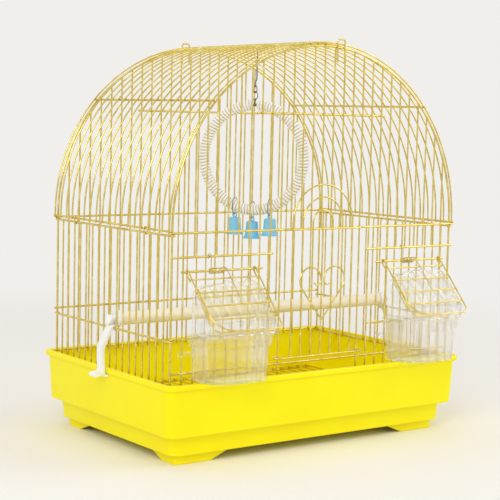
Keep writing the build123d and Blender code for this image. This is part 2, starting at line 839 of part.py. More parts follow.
def perch_parts():
    clip_top = edge(frame_d) + pin_gap + clip_ring_wall
    axis = rim + side_low_above + clip_top + touch_gap + cap_button_d / 2
    y = perch_spaces * side_pitch
    cap_out = side_wire_x - clip_top - touch_gap
    cap_in = cap_out - cap_long
    half = cap_out - cap_wall
    dowel = Pos(0, y, axis) * Rot(0, 90, 0) * Cylinder(perch_d / 2, 2 * half)
    place = Plane(origin=(cap_in, y, axis), z_dir=(1, 0, 0))
    disc = RegularPolygon(cap_d / 2, cap_sides)
    straight = cap_long - cap_round
    collar = extrude(place * disc, amount=straight)
    end = Plane(origin=(cap_in + straight, y, axis), z_dir=(1, 0, 0))
    collar += extrude(end * disc, amount=cap_round, taper=cap_slope)
    hole = RegularPolygon(perch_d / 2 + perch_fit, cap_sides, major_radius=False)
    bore = extrude(place * hole, amount=half - cap_in)
    neck_out = side_wire_x + flat(frame_d) + touch_gap - cap_out
    neck = extrude(Plane(origin=(cap_out, y, axis), z_dir=(1, 0, 0))
                   * RegularPolygon(cap_neck_d / 2, cap_sides), amount=neck_out)
    button = extrude(Plane(origin=(cap_out + neck_out, y, axis), z_dir=(1, 0, 0))
                     * RegularPolygon(cap_button_d / 2, cap_sides), amount=cap_button_long)
    cap = collar - bore + neck + button
    return dowel, cap


def side_clip():
    # The left-hand clip, turning on the low side wire
    y = perch_spaces * side_pitch
    wire_x = -side_wire_x
    wire_z = rim + side_low_above
    inner = edge(frame_d) + pin_gap
    outer = inner + clip_ring_wall
    place = Plane(origin=(wire_x, y, wire_z), x_dir=(1, 0, 0), z_dir=(0, -1, 0))
    ring = extrude(place * (Circle(outer) - Circle(inner)), amount=clip_wide / 2, both=True)
    mouth = place * Pos(inner, -outer) * Box(2 * clip_mouth, outer, clip_wide + overrun)
    ring = ring - mouth
    lip_down = rim - lip_tall - clip_hook_gap - wire_z
    half = clip_thick / 2
    foot_down = lip_down - clip_hook_thick
    hook_in = tray_length / 2 - lip_out + touch_gap - side_wire_x
    past = tray_length / 2 - side_wire_x
    elbow_out = past + clip_elbow_past_lip
    foot_out = past + clip_foot_past_lip
    tab_out = past + clip_tab_past_lip
    tab_down = lip_down - clip_tab_below_lip
    strip = Polygon(
        (-inner, -outer / 2), (-outer, outer / 2),
        (-elbow_out - half, -clip_elbow_down + half),
        (-foot_out - half, lip_down + clip_tab_thick),
        (-tab_out, tab_down + clip_tab_thick),
        (-tab_out - half, tab_down), (-tab_out + half, tab_down - half),
        (-foot_out - half, foot_down + half),
        (-foot_out + half, foot_down), (-hook_in, foot_down), (-hook_in, lip_down),
        (-foot_out + half, lip_down),
        (-elbow_out + half, -clip_elbow_down), align=None)
    blade = extrude(place * strip, amount=clip_wide / 2, both=True)
    bore = extrude(place * Circle(inner), amount=clip_wide, both=True)
    return ring + (blade - bore)


rail_z = rim + arch_above + rail_r
toy_y = side_pitch / 2
crook_r = frame_d / 2 + pin_gap + hook_d / 2
hook_foot = rail_z - hook_shank
hook_eye_z = hook_foot - eye_r
link_top = hook_eye_z - eye_r + (eye_d + link_d) / 2 + chain_gap
link_bottom = link_top - link_long
hoop_eye_z = link_bottom + (eye_d + link_d) / 2 + chain_gap - eye_r
hoop_z = hoop_eye_z - eye_r - eye_d / 2 - hoop_core_d / 2 - hoop_r
toy_a = radians(toy_turn)
toy_along = (cos(toy_a), sin(toy_a), 0)            # level direction in the hoop's plane
toy_through = (-sin(toy_a), cos(toy_a), 0)


def on_toy(points):
    # Points (u, z) of the hoop's plane
    return [(u * toy_along[0], toy_y + u * toy_along[1], z) for u, z in points]


def toy_hook():
    # Crook over the roof's top wire, a shank and an eye
    x = crook_r
    crook = arc((0, rail_z), x, hook_turn, 0, 2 * tie_steps)
    line = crook + [(x, hook_foot + x), (0, hook_foot)]
    shank = bent(in_xz(line, toy_y), hook_d, (0, 1, 0))
    return [shank, closed_ring((0, toy_y, hook_eye_z), eye_r, eye_d, eye_steps, toy_along)]


def toy_link():
    # Oval link, its ends meeting halfway up one side
    r = link_r
    meet = (link_top + link_bottom) / 2
    low = arc((0, link_bottom + r), r, -180, 0, tie_steps)
    high = arc((0, link_top - r), r, 0, 180, tie_steps)
    line = [(-r, meet - slide_gap)] + low + high + [(-r, meet + slide_gap)]
    return bent(on_toy(line), link_d, toy_through)


def hoop_line(gap):
    # Round the hoop from the top, leaving a gap in degrees
    points = arc((0, hoop_z), hoop_r, 90 + gap / 2, 450 - gap / 2, hoop_steps)
    return on_toy(points)


def hoop_core(grow):
    ends = degrees(touch_gap / hoop_r)
    return round_tube(hoop_line(ends), hoop_core_d + 2 * grow, toy_through)


def hoop_wrap():
    return round_tube(hoop_line(hoop_gap_turn), hoop_d, toy_through) - hoop_core(core_fit)


def hoop_eye():
    return closed_ring((0, toy_y, hoop_eye_z), eye_r, eye_d, eye_steps, toy_along)


ring_r = hoop_d / 2 + ring_gap + ring_d / 2
bell_loop_drop = ring_r - (ring_d + bell_loop_d) / 2 - chain_gap + bell_loop_r


def bell_place(side):
    # Centre of the hoop's tube above a bell
    t = radians(side * bell_turn)
    return on_toy([(hoop_r * sin(t), hoop_z - hoop_r * cos(t))])[0]


def bell_ring(side):
    return closed_ring(bell_place(side), ring_r, ring_d, ring_steps, toy_along)


def bell_cup(grow, top):
    # Solid inside of one skin of the bell, its mouth at height zero
    flare_mid_r = (bell_flare_r + 2 * bell_waist_r) / 3
    rings = ((0, bell_flare_r), (bell_flare_tall / 3, flare_mid_r),
             (bell_flare_tall, bell_waist_r), (top, bell_top_r))
    cup = Part()
    for (low, wide), (high, narrow) in zip(rings, rings[1:]):
        slope = degrees(atan2((wide - narrow) * cos(pi / bell_sides), high - low))
        ring = Pos(0, 0, low) * RegularPolygon(wide + grow, bell_sides)
        cup += extrude(ring, amount=high - low, taper=slope)
    return cup


def bell(side):
    x, y, z = bell_place(side)
    loop_z = z - bell_loop_drop
    mouth = loop_z - bell_loop_r - bell_loop_d / 2 - bell_tall + bell_loop_sink
    hollow = bell_cup(-bell_wall, bell_tall - bell_wall)
    shell = Pos(x, y, mouth) * (bell_cup(0, bell_tall) - hollow)
    loop = closed_ring((x, y, loop_z), bell_loop_r, bell_loop_d, bell_loop_steps, toy_through)
    return shell + loop


def clapper(side):
    x, y, z = bell_place(side)
    top = z - bell_loop_drop - bell_loop_r - bell_loop_d / 2 + bell_loop_sink - bell_wall
    low = top - bell_tall * clapper_below_share
    rod = bar((x, y, low + clapper_weight_tall), (x, y, top), clapper_d, (1, 0, 0))
    weight = bar((x, y, low), (x, y, low + clapper_weight_tall), clapper_weight_d, (1, 0, 0))
    return rod + weight


def main():
    save("tray", tray())
    save("floor_grille", *floor_grille())
    save("front_panel", *front_panel())
    save("hinge_wires", hinge_wire(-1), hinge_wire(1))
    save("door_staple", door_staple())
    save("back_panel", *back_panel())
    right = side_panel()
    save("right_side_panel", *right)
    save("left_side_panel", *[mirror(piece, about=Plane.YZ) for piece in right])
    save("roof_panel", *roof_panel())
    save("roof_ties", *roof_ties())
    save("front_door", *front_door())
    dowel, cap = perch_parts()
    save("perch", dowel)
    save("perch_caps", cap, mirror(cap, about=Plane.YZ))
    clip = side_clip()
    save("side_clip_left", clip)
    save("side_clip_right", mirror(clip, about=Plane.YZ))
    flap = feeder_flap()
    cup = feeder_cup()
    hood = feeder_hood()
    for name, side in (("left", -1), ("right", 1)):
        place = Pos(side * feeder_x, 0, 0)
        save(f"feeder_flap_{name}", *[place * piece for piece in flap])
        save(f"feeder_cup_{name}", place * cup)
        save(f"feeder_hood_{name}", place * hood)
    coil = spring_coil()
    save("flap_springs", Pos(-feeder_x, 0, 0) * coil, Pos(feeder_x, 0, 0) * coil)
    leg = spring_leg()
    save("spring_leg_left", Pos(-feeder_x, 0, 0) * leg)
    save("spring_leg_right", Pos(feeder_x, 0, 0) * leg)
    print("least gap between the spring's turns:", round(spring_gap_to_self(), 2), "mm")
    save("toy_hook", *toy_hook())
    save("toy_link", toy_link())
    save("hoop_core", hoop_core(0))
    save("hoop_wrap", hoop_wrap())
    save("hoop_eye", hoop_eye())
    for name, side in (("left", -1), ("middle", 0), ("right", 1)):
        save(f"bell_{name}", bell(side))
        save(f"bell_ring_{name}", bell_ring(side))
        save(f"bell_clapper_{name}", clapper(side))


main()
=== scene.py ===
import bpy
import numpy as np
from math import atan2, cos, pi, radians, sin, sqrt, tan
from mathutils import Matrix, Vector


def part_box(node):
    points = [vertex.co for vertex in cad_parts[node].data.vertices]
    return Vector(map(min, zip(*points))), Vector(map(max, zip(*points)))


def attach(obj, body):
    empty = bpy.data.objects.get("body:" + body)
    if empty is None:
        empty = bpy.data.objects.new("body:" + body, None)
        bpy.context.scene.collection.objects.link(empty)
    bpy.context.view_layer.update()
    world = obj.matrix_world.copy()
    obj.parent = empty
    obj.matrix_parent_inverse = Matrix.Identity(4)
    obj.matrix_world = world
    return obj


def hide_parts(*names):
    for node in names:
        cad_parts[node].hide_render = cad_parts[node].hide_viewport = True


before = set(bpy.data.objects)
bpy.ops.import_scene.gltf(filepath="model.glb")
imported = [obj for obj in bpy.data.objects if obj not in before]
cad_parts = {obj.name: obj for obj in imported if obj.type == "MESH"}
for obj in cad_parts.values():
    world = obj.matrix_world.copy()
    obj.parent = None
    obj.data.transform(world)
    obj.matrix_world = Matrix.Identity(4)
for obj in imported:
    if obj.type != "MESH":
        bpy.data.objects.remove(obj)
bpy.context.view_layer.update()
print("frame loaded")

# Sizes of the cage in millimetres, the same as those of its solids
cage = {
    "pitch": 12.15,           # spacing of the front and back bars
    "sidePitch": 11.8,
    "frontSpaces": 28,
    "sideSpaces": 18,
    "barD": 1.6,
    "flapD": 1.4,
    "frameD": 2.1,
    "flatShare": 0.84,        # wires' centre lines lie this share of their thickness apart
    "gap": 0.3,
    "pin": 0.1,
    "doorBars": 3,            # bars that end over the door, to each side of the middle one
    "feederFirst": 8,         # bars with a break behind a feeder, counted from the middle
    "feederLast": 12,
    "feederX": 117.0,
    "dip": 4.5,               # how far the bars reach down into the tray
    "pastPost": 2.4,
    "trayForward": 1.0,       # the tray's middle lies this much in front of the panels'
}
# Heights of the cage's wires and of its arch's centre above the tray's rim
above = {"hinge": 100.8, "mid": 136.0, "arch": 140.0, "roofEdge": 137.7, "short": 114.0, "low": 40.2,
         "backLow": 43.0, "backBottom": -0.85, "bottom": 8.5, "inner": 245.0, "sideLow": 38.05,
         "sideBottom": -3.0}
trayLow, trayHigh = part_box("tray")
rim = trayHigh.z * 1000
height = {name: rim + value for name, value in above.items()}
trayMiddle = (trayLow.y + trayHigh.y) * 500
shift = trayMiddle + cage["trayForward"]
handed = {"left": -1, "right": 1}
pitch, sidePitch = cage["pitch"], cage["sidePitch"]
barD, frameD, flapD = cage["barD"], cage["frameD"], cage["flapD"]
barFlat, frameFlat, flapFlat = (d / 2 * cage["flatShare"] for d in (barD, frameD, flapD))
lastBar, lastSideBar = cage["frontSpaces"] // 2, cage["sideSpaces"] // 2
frontHalf = pitch * cage["frontSpaces"] / 2
sideHalf = sidePitch * cage["sideSpaces"] / 2
frontFace = -sideHalf - barFlat
postY = frontFace + frameFlat
crossY = frontFace - frameFlat
wiresY = frontFace - 2 * frameFlat
doorY = wiresY - cage["gap"] - barFlat
hingeY = frontFace - frameD / 2
sideFace = frontHalf + frameFlat
sideWireX = sideFace + frameFlat
sideBarX = sideFace - barFlat


def unit(vectors):
    return vectors / np.linalg.norm(vectors, axis=-1, keepdims=True)


def arcLine(centre, radius, start, end, steps):
    # Points on a circle: centre + radius (cos t, sin t), angles in degrees
    t = np.radians(np.linspace(start, end, steps + 1))
    return np.column_stack([centre[0] + radius * np.cos(t), centre[1] + radius * np.sin(t)])


def inPlane(points, axis, value):
    # Flat points laid where one of x, y and z has the value
    return np.insert(np.asarray(points, float), "xyz".index(axis), value, axis=1)


def lengthAlong(line):
    return np.concatenate([[0], np.cumsum(np.linalg.norm(np.diff(line, axis=0), axis=1))])


def spaced(line, at):
    # Points of a line at the given lengths along it
    run = lengthAlong(line)
    return np.column_stack([np.interp(at, run, values) for values in line.T])


def softLine(points, radius, steps=6):
    # Each corner becomes the curve (1 - t)^2 a + 2 t (1 - t) corner + t^2 b, with a and b one radius
    # before and after it
    points = np.asarray(points, float)
    parts = 2.05     # a curve takes less than half of the run to the next corner
    runs = [points[:1]]
    t = np.linspace(0, 1, steps + 1)[:, None]
    for before, corner, after in zip(points, points[1:], points[2:]):
        back = before - corner
        ahead = after - corner
        reach = min(radius, np.linalg.norm(back) / parts, np.linalg.norm(ahead) / parts)
        a = corner + unit(back) * reach
        b = corner + unit(ahead) * reach
        runs.append((1 - t) ** 2 * a + 2 * t * (1 - t) * corner + t**2 * b)
    runs.append(points[-1:])
    return np.concatenate(runs)


def skin(rings, closed=False, along=None):
    # Quads between rings of points, rings[n, k], with a flat cap at each open end
    count, sides = rings.shape[:2]
    steps = count if closed else count - 1
    i, j = np.meshgrid(np.arange(steps), np.arange(sides), indexing="ij")
    ahead = (i + 1) % count
    beside = (j + 1) % sides
    quads = np.stack([i * sides + j, i * sides + beside, ahead * sides + beside, ahead * sides + j], -1)
    u = np.arange(steps + 1) if along is None else along
    uv = np.stack([np.stack([u[i], u[i], u[i + 1], u[i + 1]], -1),
                   np.stack([j, j + 1, j + 1, j], -1) / sides], -1)
    corners = [quads.reshape(-1)]
    uvs = [uv.reshape(-1, 2)]
    sizes = [np.full(steps * sides, 4)]
    if not closed:
        last = (count - 1) * sides
        corners += [np.arange(sides)[::-1], last + np.arange(sides)]
        uvs.append(np.zeros((2 * sides, 2)))
        sizes.append(np.array([sides, sides]))
    return {"points": rings.reshape(-1, 3), "corners": np.concatenate(corners),
            "sizes": np.concatenate(sizes), "uv": np.concatenate(uvs)}


def grid(points):
    # Open sheet of quads, points[row, column]
    rows, columns = points.shape[:2]
    i, j = np.meshgrid(np.arange(rows - 1), np.arange(columns - 1), indexing="ij")
    a = i * columns + j
    quads = np.stack([a, a + columns, a + columns + 1, a + 1], -1).reshape(-1)
    return {"points": points.reshape(-1, 3), "corners": quads, "sizes": np.full(a.size, 4),
            "uv": np.zeros((len(quads), 2))}


def sideways(tangents, first):
    # Side direction carried along a line without twist: at each tangent t the one before it, b, becomes
    # b - t (b . t), made unit length
    carried = [np.asarray(first, float)]
    for t in tangents:
        b = carried[-1] - t * np.dot(carried[-1], t)
        carried.append(b / np.linalg.norm(b))
    return np.array(carried[1:])


wireEnd = {"from": 0.12, "share": 0.72}     # drawn in over this share of the thickness, to this share of it


def tube(line, diameter, across, closed=False, sides=14):
    # Circles round a line: p + r (cos a n + sin a b), with b the side direction and n = b x tangent
    line = np.asarray(line, float)
    if not closed:
        first = unit(line[1] - line[0]) * diameter * wireEnd["from"]
        last = unit(line[-2] - line[-1]) * diameter * wireEnd["from"]
        line = np.concatenate([line[:1], line[:1] + first, line[1:-1], line[-1:] + last, line[-1:]])
    radius = np.full(len(line), diameter / 2)
    steps = unit(np.diff(line, axis=0, append=line[:1]))
    along = lengthAlong(line)
    if closed:
        tangents = unit(steps + np.roll(steps, 1, axis=0))
        along = np.append(along, along[-1] + np.linalg.norm(line[0] - line[-1]))
    else:
        tangents = np.concatenate([steps[:1], unit(steps[:-2] + steps[1:-1]), steps[-2:-1]])
        radius[[0, -1]] *= wireEnd["share"]
    b = sideways(tangents, across)
    n = np.cross(b, tangents)
    a = np.linspace(0, 2 * pi, sides, endpoint=False)
    circle = np.cos(a)[None, :, None] * n[:, None] + np.sin(a)[None, :, None] * b[:, None]
    return skin(line[:, None] + radius[:, None, None] * circle, closed, along)


def bentWire(line, axis, value, diameter, closed=False):
    # Tube along a flat line laid where one of x, y and z has the value
    return tube(inPlane(line, axis, value), diameter, np.eye(3)["xyz".index(axis)], closed)


def wireBar(start, end, diameter):
    # Straight tube from point to point
    x, y, z = np.abs(np.subtract(end, start))
    return tube([start, end], diameter, (0, 0, 1) if z < x + y else (0, 1, 0))


def prism(outline, axis, start, end):
    # Flat outline carried straight from one value of x, y or z to another
    return skin(np.stack([inPlane(outline, axis, value) for value in (start, end)]))


def ringLine(centre, radius, u, v, steps=32):
    # Full circle in the plane of two directions: centre + radius (cos t u + sin t v)
    t = np.linspace(0, 2 * pi, steps, endpoint=False)[:, None]
    return np.asarray(centre) + radius * (np.cos(t) * np.asarray(u) + np.sin(t) * np.asarray(v))


def turned(profile, centre, sides=48):
    # Profile rows (radius, height) turned about an upright axis: (r cos t, r sin t, h)
    p = np.asarray(profile, float)
    t = np.linspace(0, 2 * pi, sides, endpoint=False)
    x = centre[0] + p[:, :1] * np.cos(t)
    y = centre[1] + p[:, :1] * np.sin(t)
    z = centre[2] + np.repeat(p[:, 1:], sides, axis=1)
    return skin(np.stack([x, y, z], -1))


def moved(part, by):
    return {**part, "points": part["points"] + np.asarray(by, float)}


def mirrored(part, axis=0):
    # Mirrored about the middle plane of the cage, faces turned back outward
    points = part["points"].copy()
    points[:, axis] *= -1
    sizes = part["sizes"]
    starts = np.cumsum(sizes) - sizes
    within = np.arange(len(part["corners"])) - np.repeat(starts, sizes)
    swap = np.repeat(starts + sizes - 1, sizes) - within
    return {"points": points, "corners": part["corners"][swap], "sizes": sizes, "uv": part["uv"][swap]}


def bothSides(parts, axis=0):
    return parts + [mirrored(p, axis) for p in parts]


def addObject(name, data):
    obj = bpy.data.objects.new(name, data)
    bpy.context.scene.collection.objects.link(obj)
    return obj


def piece(name, parts, slot, body, nodes=(), at=(0, 0, 0), sharp=35):
    # One mesh object out of its parts, moved by at, riding on its body and standing for its CAD nodes;
    # edges that turn by more than sharp degrees stay crisp
    before = np.cumsum([0] + [len(p["points"]) for p in parts])
    points = (np.concatenate([p["points"] for p in parts]) + at + (0, shift, 0)) / 1000
    corners = np.concatenate([p["corners"] + n for p, n in zip(parts, before)])
    sizes = np.concatenate([p["sizes"] for p in parts])
    uv = np.concatenate([p["uv"] for p in parts])
    mesh = bpy.data.meshes.new(name)
    mesh.vertices.add(len(points))
    mesh.vertices.foreach_set("co", points.astype(np.float32).ravel())
    mesh.loops.add(len(corners))
    mesh.loops.foreach_set("vertex_index", corners.astype(np.int32))
    mesh.polygons.add(len(sizes))
    mesh.polygons.foreach_set("loop_start", (np.cumsum(sizes) - sizes).astype(np.int32))
    mesh.uv_layers.new(name="along").data.foreach_set("uv", uv.astype(np.float32).ravel())
    mesh.update(calc_edges=True)
    mesh.validate()
    mesh.set_sharp_from_angle(angle=radians(sharp))
    mesh.materials.append(materials[slot])
    obj = addObject(name, mesh)
    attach(obj, body)
    if nodes:
        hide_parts(*nodes)
    return obj


def softEdges(obj, width, segments=3, sharpest=40):
    # Rounds the edges that a mould leaves round
    edges = obj.modifiers.new("soft edges", "BEVEL")
    edges.width = width / 1000
    edges.segments = segments
    edges.limit_method = "ANGLE"
    edges.angle_limit = radians(sharpest)
    edges.harden_normals = True


def thicken(obj, wall, together=0.01):
    # Joins the sheets along their shared edges and gives them the wall on the inside
    obj.modifiers.new("joined", "WELD").merge_threshold = together / 1000
    solid = obj.modifiers.new("wall", "SOLIDIFY")
    solid.thickness = wall / 1000
    solid.offset = -1


def linear(hexColour):
    # sRGB hex to the linear colour that shaders take
    channels = [int(hexColour[n:n + 2], 16) / 255 for n in (1, 3, 5)]
    return [c / 12.92 if c <= 0.04045 else ((c + 0.055) / 1.055) ** 2.4 for c in channels] + [1.0]


def addNode(tree, kind, inputs=None, stops=(), **settings):
    # New node with its settings and a ramp's (place, hex) stops; each input is a constant, an output, or
    # a node whose first output is linked
    node = tree.nodes.new("ShaderNode" + kind)
    for key, value in settings.items():
        setattr(node, key, value)
    for key, value in (inputs or {}).items():
        if isinstance(value, bpy.types.Node):
            value = value.outputs[0]
        if isinstance(value, bpy.types.NodeSocket):
            tree.links.new(value, node.inputs[key])
        else:
            node.inputs[key].default_value = value
    for n, (place, hexColour) in enumerate(stops):
        stop = node.color_ramp.elements[n] if n < 2 else node.color_ramp.elements.new(place)
        stop.position = place
        stop.color = linear(hexColour)
    return node


def newMaterial(name, patterns, stretch=None):
    # Material with an empty tree, the coordinates that it reads, and a cloudy pattern for each (size in
    # millimetres, detail, roughness), on Object coordinates drawn out by stretch
    made = bpy.data.materials.new(name)
    made.use_nodes = True
    tree = made.node_tree
    tree.nodes.clear()
    coords = addNode(tree, "TexCoord").outputs
    place = coords["Object"]
    if stretch:
        place = addNode(tree, "Mapping", {"Vector": place, "Scale": stretch})
    return [made, tree, coords] + [addNode(tree, "TexNoise", {
        "Vector": place, "Scale": 1000 / size, "Detail": detail, "Roughness": rough})
        for size, detail, rough in patterns]


def finished(made, inputs, kind="BsdfPrincipled"):
    # Closes a material's tree with its shader
    shader = addNode(made.node_tree, kind, inputs)
    addNode(made.node_tree, "OutputMaterial", {"Surface": shader})
    return made


# Finishes: cloudy patterns, depths in millimetres, roughness from low to high
plating = {"patterns": ((9.0, 3.0, 0.6), (3.0, 4.0, 0.5), (0.8, 2.0, 0.5)), "lines": (0.02, 14.0, 1.0),
           "deep": 0.002, "pitShare": 0.6}
moulding = {"patterns": ((60.0, 2.0, 0.5), (14.0, 4.0, 0.65)), "rough": (0.3, 0.42), "ior": 1.49,
            "scatter": (0.004, 0.003, 0.0015)}
clearWall = {"patterns": ((12.0, 2.0, 0.5), (5.0, 4.0, 0.7)), "deep": 0.05, "rough": (0.02, 0.08),
             "seen": (0.07, 0.8), "edge": 0.4, "through": 0.9}
dowel = {"patterns": ((4.0, 4.0, 0.6), (0.5, 3.0, 0.7)), "long": (0.04, 1.0, 1.0), "deep": 0.05,
         "rough": (0.5, 0.75)}
cotton = {"patterns": ((0.35, 3.0, 0.7),), "lie": (9.0, 3.0, 1.0), "deep": 0.12, "rough": 0.9, "sheen": 0.4,
          "sheenRough": 0.5}


def platedWire(name, low, mid, high, rough):
    # Drawn steel wire, welded and then plated: its tone drifts with the plating's thickness, handling
    # leaves a haze, and the die leaves fine lines along it, drawn coarser than real so that they show
    made, tree, coords, thick, haze, pits = newMaterial(name, plating["patterns"])
    lines = addNode(tree, "Mapping", {"Vector": coords["UV"], "Scale": plating["lines"]})
    drawn = addNode(tree, "TexNoise", {"Vector": lines, "Scale": 1.0, "Detail": 3.0})
    grain = addNode(tree, "Bump", {"Height": drawn, "Distance": plating["deep"] / 1000})
    return finished(made, {
        "Base Color": addNode(tree, "ValToRGB", {"Fac": thick}, [(0.3, low), (0.7, high), (0.5, mid)]),
        "Metallic": 1.0,
        "Roughness": addNode(tree, "MapRange", {"Value": haze, "To Min": rough[0], "To Max": rough[1]}),
        "Normal": addNode(tree, "Bump", {"Height": pits, "Distance": plating["deep"] / 1000,
                                         "Strength": plating["pitShare"], "Normal": grain})})


def mouldedPlastic(name, colours, grain, deep, depth, shine=0.5, rough=moulding["rough"]):
    # Opaque injection-moulded plastic: the pigment drifts with the flow, and the mould's face leaves a
    # fine grain
    made, tree, _, flow, wear, fine = newMaterial(name, moulding["patterns"] + ((grain, 3.0, 0.6),))
    return finished(made, {
        "Base Color": addNode(tree, "ValToRGB", {"Fac": flow}, [(0.35, colours[0]), (0.65, colours[1])]),
        "Roughness": addNode(tree, "MapRange", {"Value": wear, "To Min": rough[0], "To Max": rough[1]}),
        "IOR": moulding["ior"], "Specular IOR Level": shine,
        "Subsurface Weight": depth, "Subsurface Radius": moulding["scatter"],
        "Normal": addNode(tree, "Bump", {"Height": fine, "Distance": deep / 1000})})


def clearPlastic(name):
    # Clear moulded polystyrene, thin walled: its skin ripples, and its walls show most where they turn away
    made, tree, _, ripple, scuff = newMaterial(name, clearWall["patterns"])
    slant = addNode(tree, "LayerWeight", {"Blend": clearWall["edge"]}).outputs["Facing"]
    rough, seen = (addNode(tree, "MapRange", {"Value": value, "To Min": low, "To Max": high})
                   for value, (low, high) in ((scuff, clearWall["rough"]), (slant, clearWall["seen"])))
    return finished(made, {
        "Base Color": linear("#FFFFFF"), "Roughness": rough, "Alpha": seen, "IOR": moulding["ior"],
        "Transmission Weight": clearWall["through"],
        "Normal": addNode(tree, "Bump", {"Height": ripple, "Distance": clearWall["deep"] / 1000})})


def turnedWood(name):
    # Pale turned dowel: growth rings cut lengthwise and fine pores, both drawn out along X
    made, tree, _, bands, pores = newMaterial(name, dowel["patterns"], dowel["long"])
    tones = [(0.3, "#F3E8CC"), (0.7, "#FDF8EA"), (0.5, "#F9F1DC")]
    low, high = dowel["rough"]
    return finished(made, {
        "Base Color": addNode(tree, "ValToRGB", {"Fac": bands}, tones),
        "Roughness": addNode(tree, "MapRange", {"Value": pores, "To Min": low, "To Max": high}),
        "Normal": addNode(tree, "Bump", {"Height": pores, "Distance": dowel["deep"] / 1000})})


def cottonYarn(name):
    # Soft cotton yarn: fibres lie along each turn of the winding, with painted shade darkening the grooves
    # between turns
    made, tree, coords, fuzz = newMaterial(name, cotton["patterns"])
    run = addNode(tree, "SeparateXYZ", {"Vector": coords["UV"]}).outputs
    turns = addNode(tree, "Math", {0: run["X"], 1: run["Y"]}, operation="ADD")
    grooveShadeMask = addNode(tree, "Math", {0: turns, 1: 0.5}, operation="PINGPONG")
    fibres = addNode(tree, "Mapping", {"Vector": coords["UV"], "Scale": cotton["lie"]})
    lie = addNode(tree, "TexNoise", {"Vector": fibres, "Scale": 1.0, "Detail": 4.0})
    # Painted shade: the colour darkens to grey-beige in the grooves between turns, where shade falls
    shade = addNode(tree, "ValToRGB", {"Fac": grooveShadeMask}, [(0.0, "#C4B698"), (0.2, "#FFFFFF")])
    tone = addNode(tree, "ValToRGB", {"Fac": lie}, [(0.3, "#F8F5EC"), (0.7, "#FFFFFF")])
    both = addNode(tree, "Mix", {0: 1.0, 6: tone, 7: shade}, data_type="RGBA", blend_type="MULTIPLY")
    return finished(made, {
        "Base Color": both.outputs[2], "Roughness": cotton["rough"],
        "Sheen Weight": cotton["sheen"], "Sheen Roughness": cotton["sheenRough"],
        "Normal": addNode(tree, "Bump", {"Height": fuzz, "Distance": cotton["deep"] / 1000})})


materials = {
    "gold_wire": platedWire("brass plated wire", "#CDB654", "#DCC76A", "#EEE096", (0.14, 0.26)),
    "spring_wire": platedWire("spring wire", "#C6B168", "#DDCB8A", "#F1E7BE", (0.14, 0.26)),
    "steel_wire": platedWire("dark steel wire", "#5F5B55", "#85807A", "#A5A099", (0.25, 0.4)),
    "yellow_plastic": mouldedPlastic("yellow moulded plastic", ("#FFF000", "#FFF500"), 1.1, 0.02, 0, 0.22),
    "white_plastic": mouldedPlastic("white moulded plastic", ("#F1F2F0", "#FAFAF8"), 0.9, 0.02, 0.15),
    "blue_plastic": mouldedPlastic("light blue moulded plastic", ("#68BEEC", "#86D0F4"), 0.9, 0.01, 0.3,
                                   rough=(0.18, 0.28)),
    "clear_plastic": clearPlastic("clear moulded plastic"),
    "pale_wood": turnedWood("turned pale wood"),
    "cotton_yarn": cottonYarn("cotton yarn"),
}
print("materials made")

tray = {"cornerR": 10.0, "wall": 2.2, "lipOut": 2.8, "lipTall": 5.3, "draft": 1.95, "stepHeight": 28.6,
        "stepInset": 12.6, "wellInset": 14.4, "wellHeight": 9.5, "floorIn": 6.0, "softness": 1.5,
        "footInset": 21.2, "footFront": 40.0, "footSide": 22.0, "frontSlope": 24.0, "sideSlope": 25.0,
        "footWall": 5.0, "footSink": 0.5, "ribThick": 2.5, "ribDeep": 8.5, "ribTall": 32.0,
        "ribSpaces": (-6.5, -0.5, 6.5), "edge": 0.8}
trayHalf = np.array([trayHigh.x - trayLow.x, trayHigh.y - trayLow.y]) * 500
ledge = tray["stepHeight"] + tray["wall"]


def roundedPlan(halfX, halfY, radius, steps=8):
    # Rounded rectangles, one ring for each entry of the arrays: corner centre + radius (cos t, sin t)
    t = np.radians(np.linspace(0, 90, steps + 1))
    quarter = np.concatenate([t + n * pi / 2 for n in range(4)])
    signX = np.repeat([1, -1, -1, 1], steps + 1)
    signY = np.repeat([1, 1, -1, -1], steps + 1)
    x = signX * (halfX - radius)[:, None] + radius[:, None] * np.cos(quarter)
    y = signY * (halfY - radius)[:, None] + radius[:, None] * np.sin(quarter)
    return x, y


def trayShell():
    # Profile carried round the plan; its rows are inset from the rim's outline, height and corner radius
    wall, floorIn, lipOut = tray["wall"], tray["floorIn"], tray["lipOut"]
    outer = tray["cornerR"]
    inner = outer - wall
    body = lipOut + tray["draft"]
    step, well = tray["stepInset"], tray["wellInset"]
    underLip = rim - tray["lipTall"]
    low = tray["wellHeight"]
    profile = [
        (well + floorIn, low, outer), (well, low, outer), (step, tray["stepHeight"], outer),
        (body, tray["stepHeight"], outer), (lipOut, underLip, outer), (0, underLip, outer), (0, rim, outer),
        (lipOut + wall, rim, inner), (body + wall, ledge, inner), (step + wall, ledge, inner),
        (well + wall, low + wall, inner), (well + wall + floorIn, low + wall, inner)]
    rows = softLine(profile, tray["softness"], steps=5)
    x, y = roundedPlan(trayHalf[0] - rows[:, 0], trayHalf[1] - rows[:, 0], rows[:, 2])
    z = np.repeat(rows[:, 1:2], x.shape[1], axis=1)
    return skin(np.stack([x, y, z], -1))


def trayFoot():
    # L-shaped foot at the left front corner, its two free ends sloping outward as it rises
    x, y = tray["footInset"] - trayHalf
    wall = tray["footWall"]
    rings = []
    for share in (0, 1):
        endX = x + tray["footFront"] + share * tray["frontSlope"]
        endY = y + tray["footSide"] + share * tray["sideSlope"]
        corners = [(x, y), (endX, y), (endX, y + wall), (x + wall, y + wall), (x + wall, endY), (x, endY)]
        rings.append(inPlane(corners, "z", share * (tray["wellHeight"] + tray["footSink"])))
    return skin(np.stack(rings))


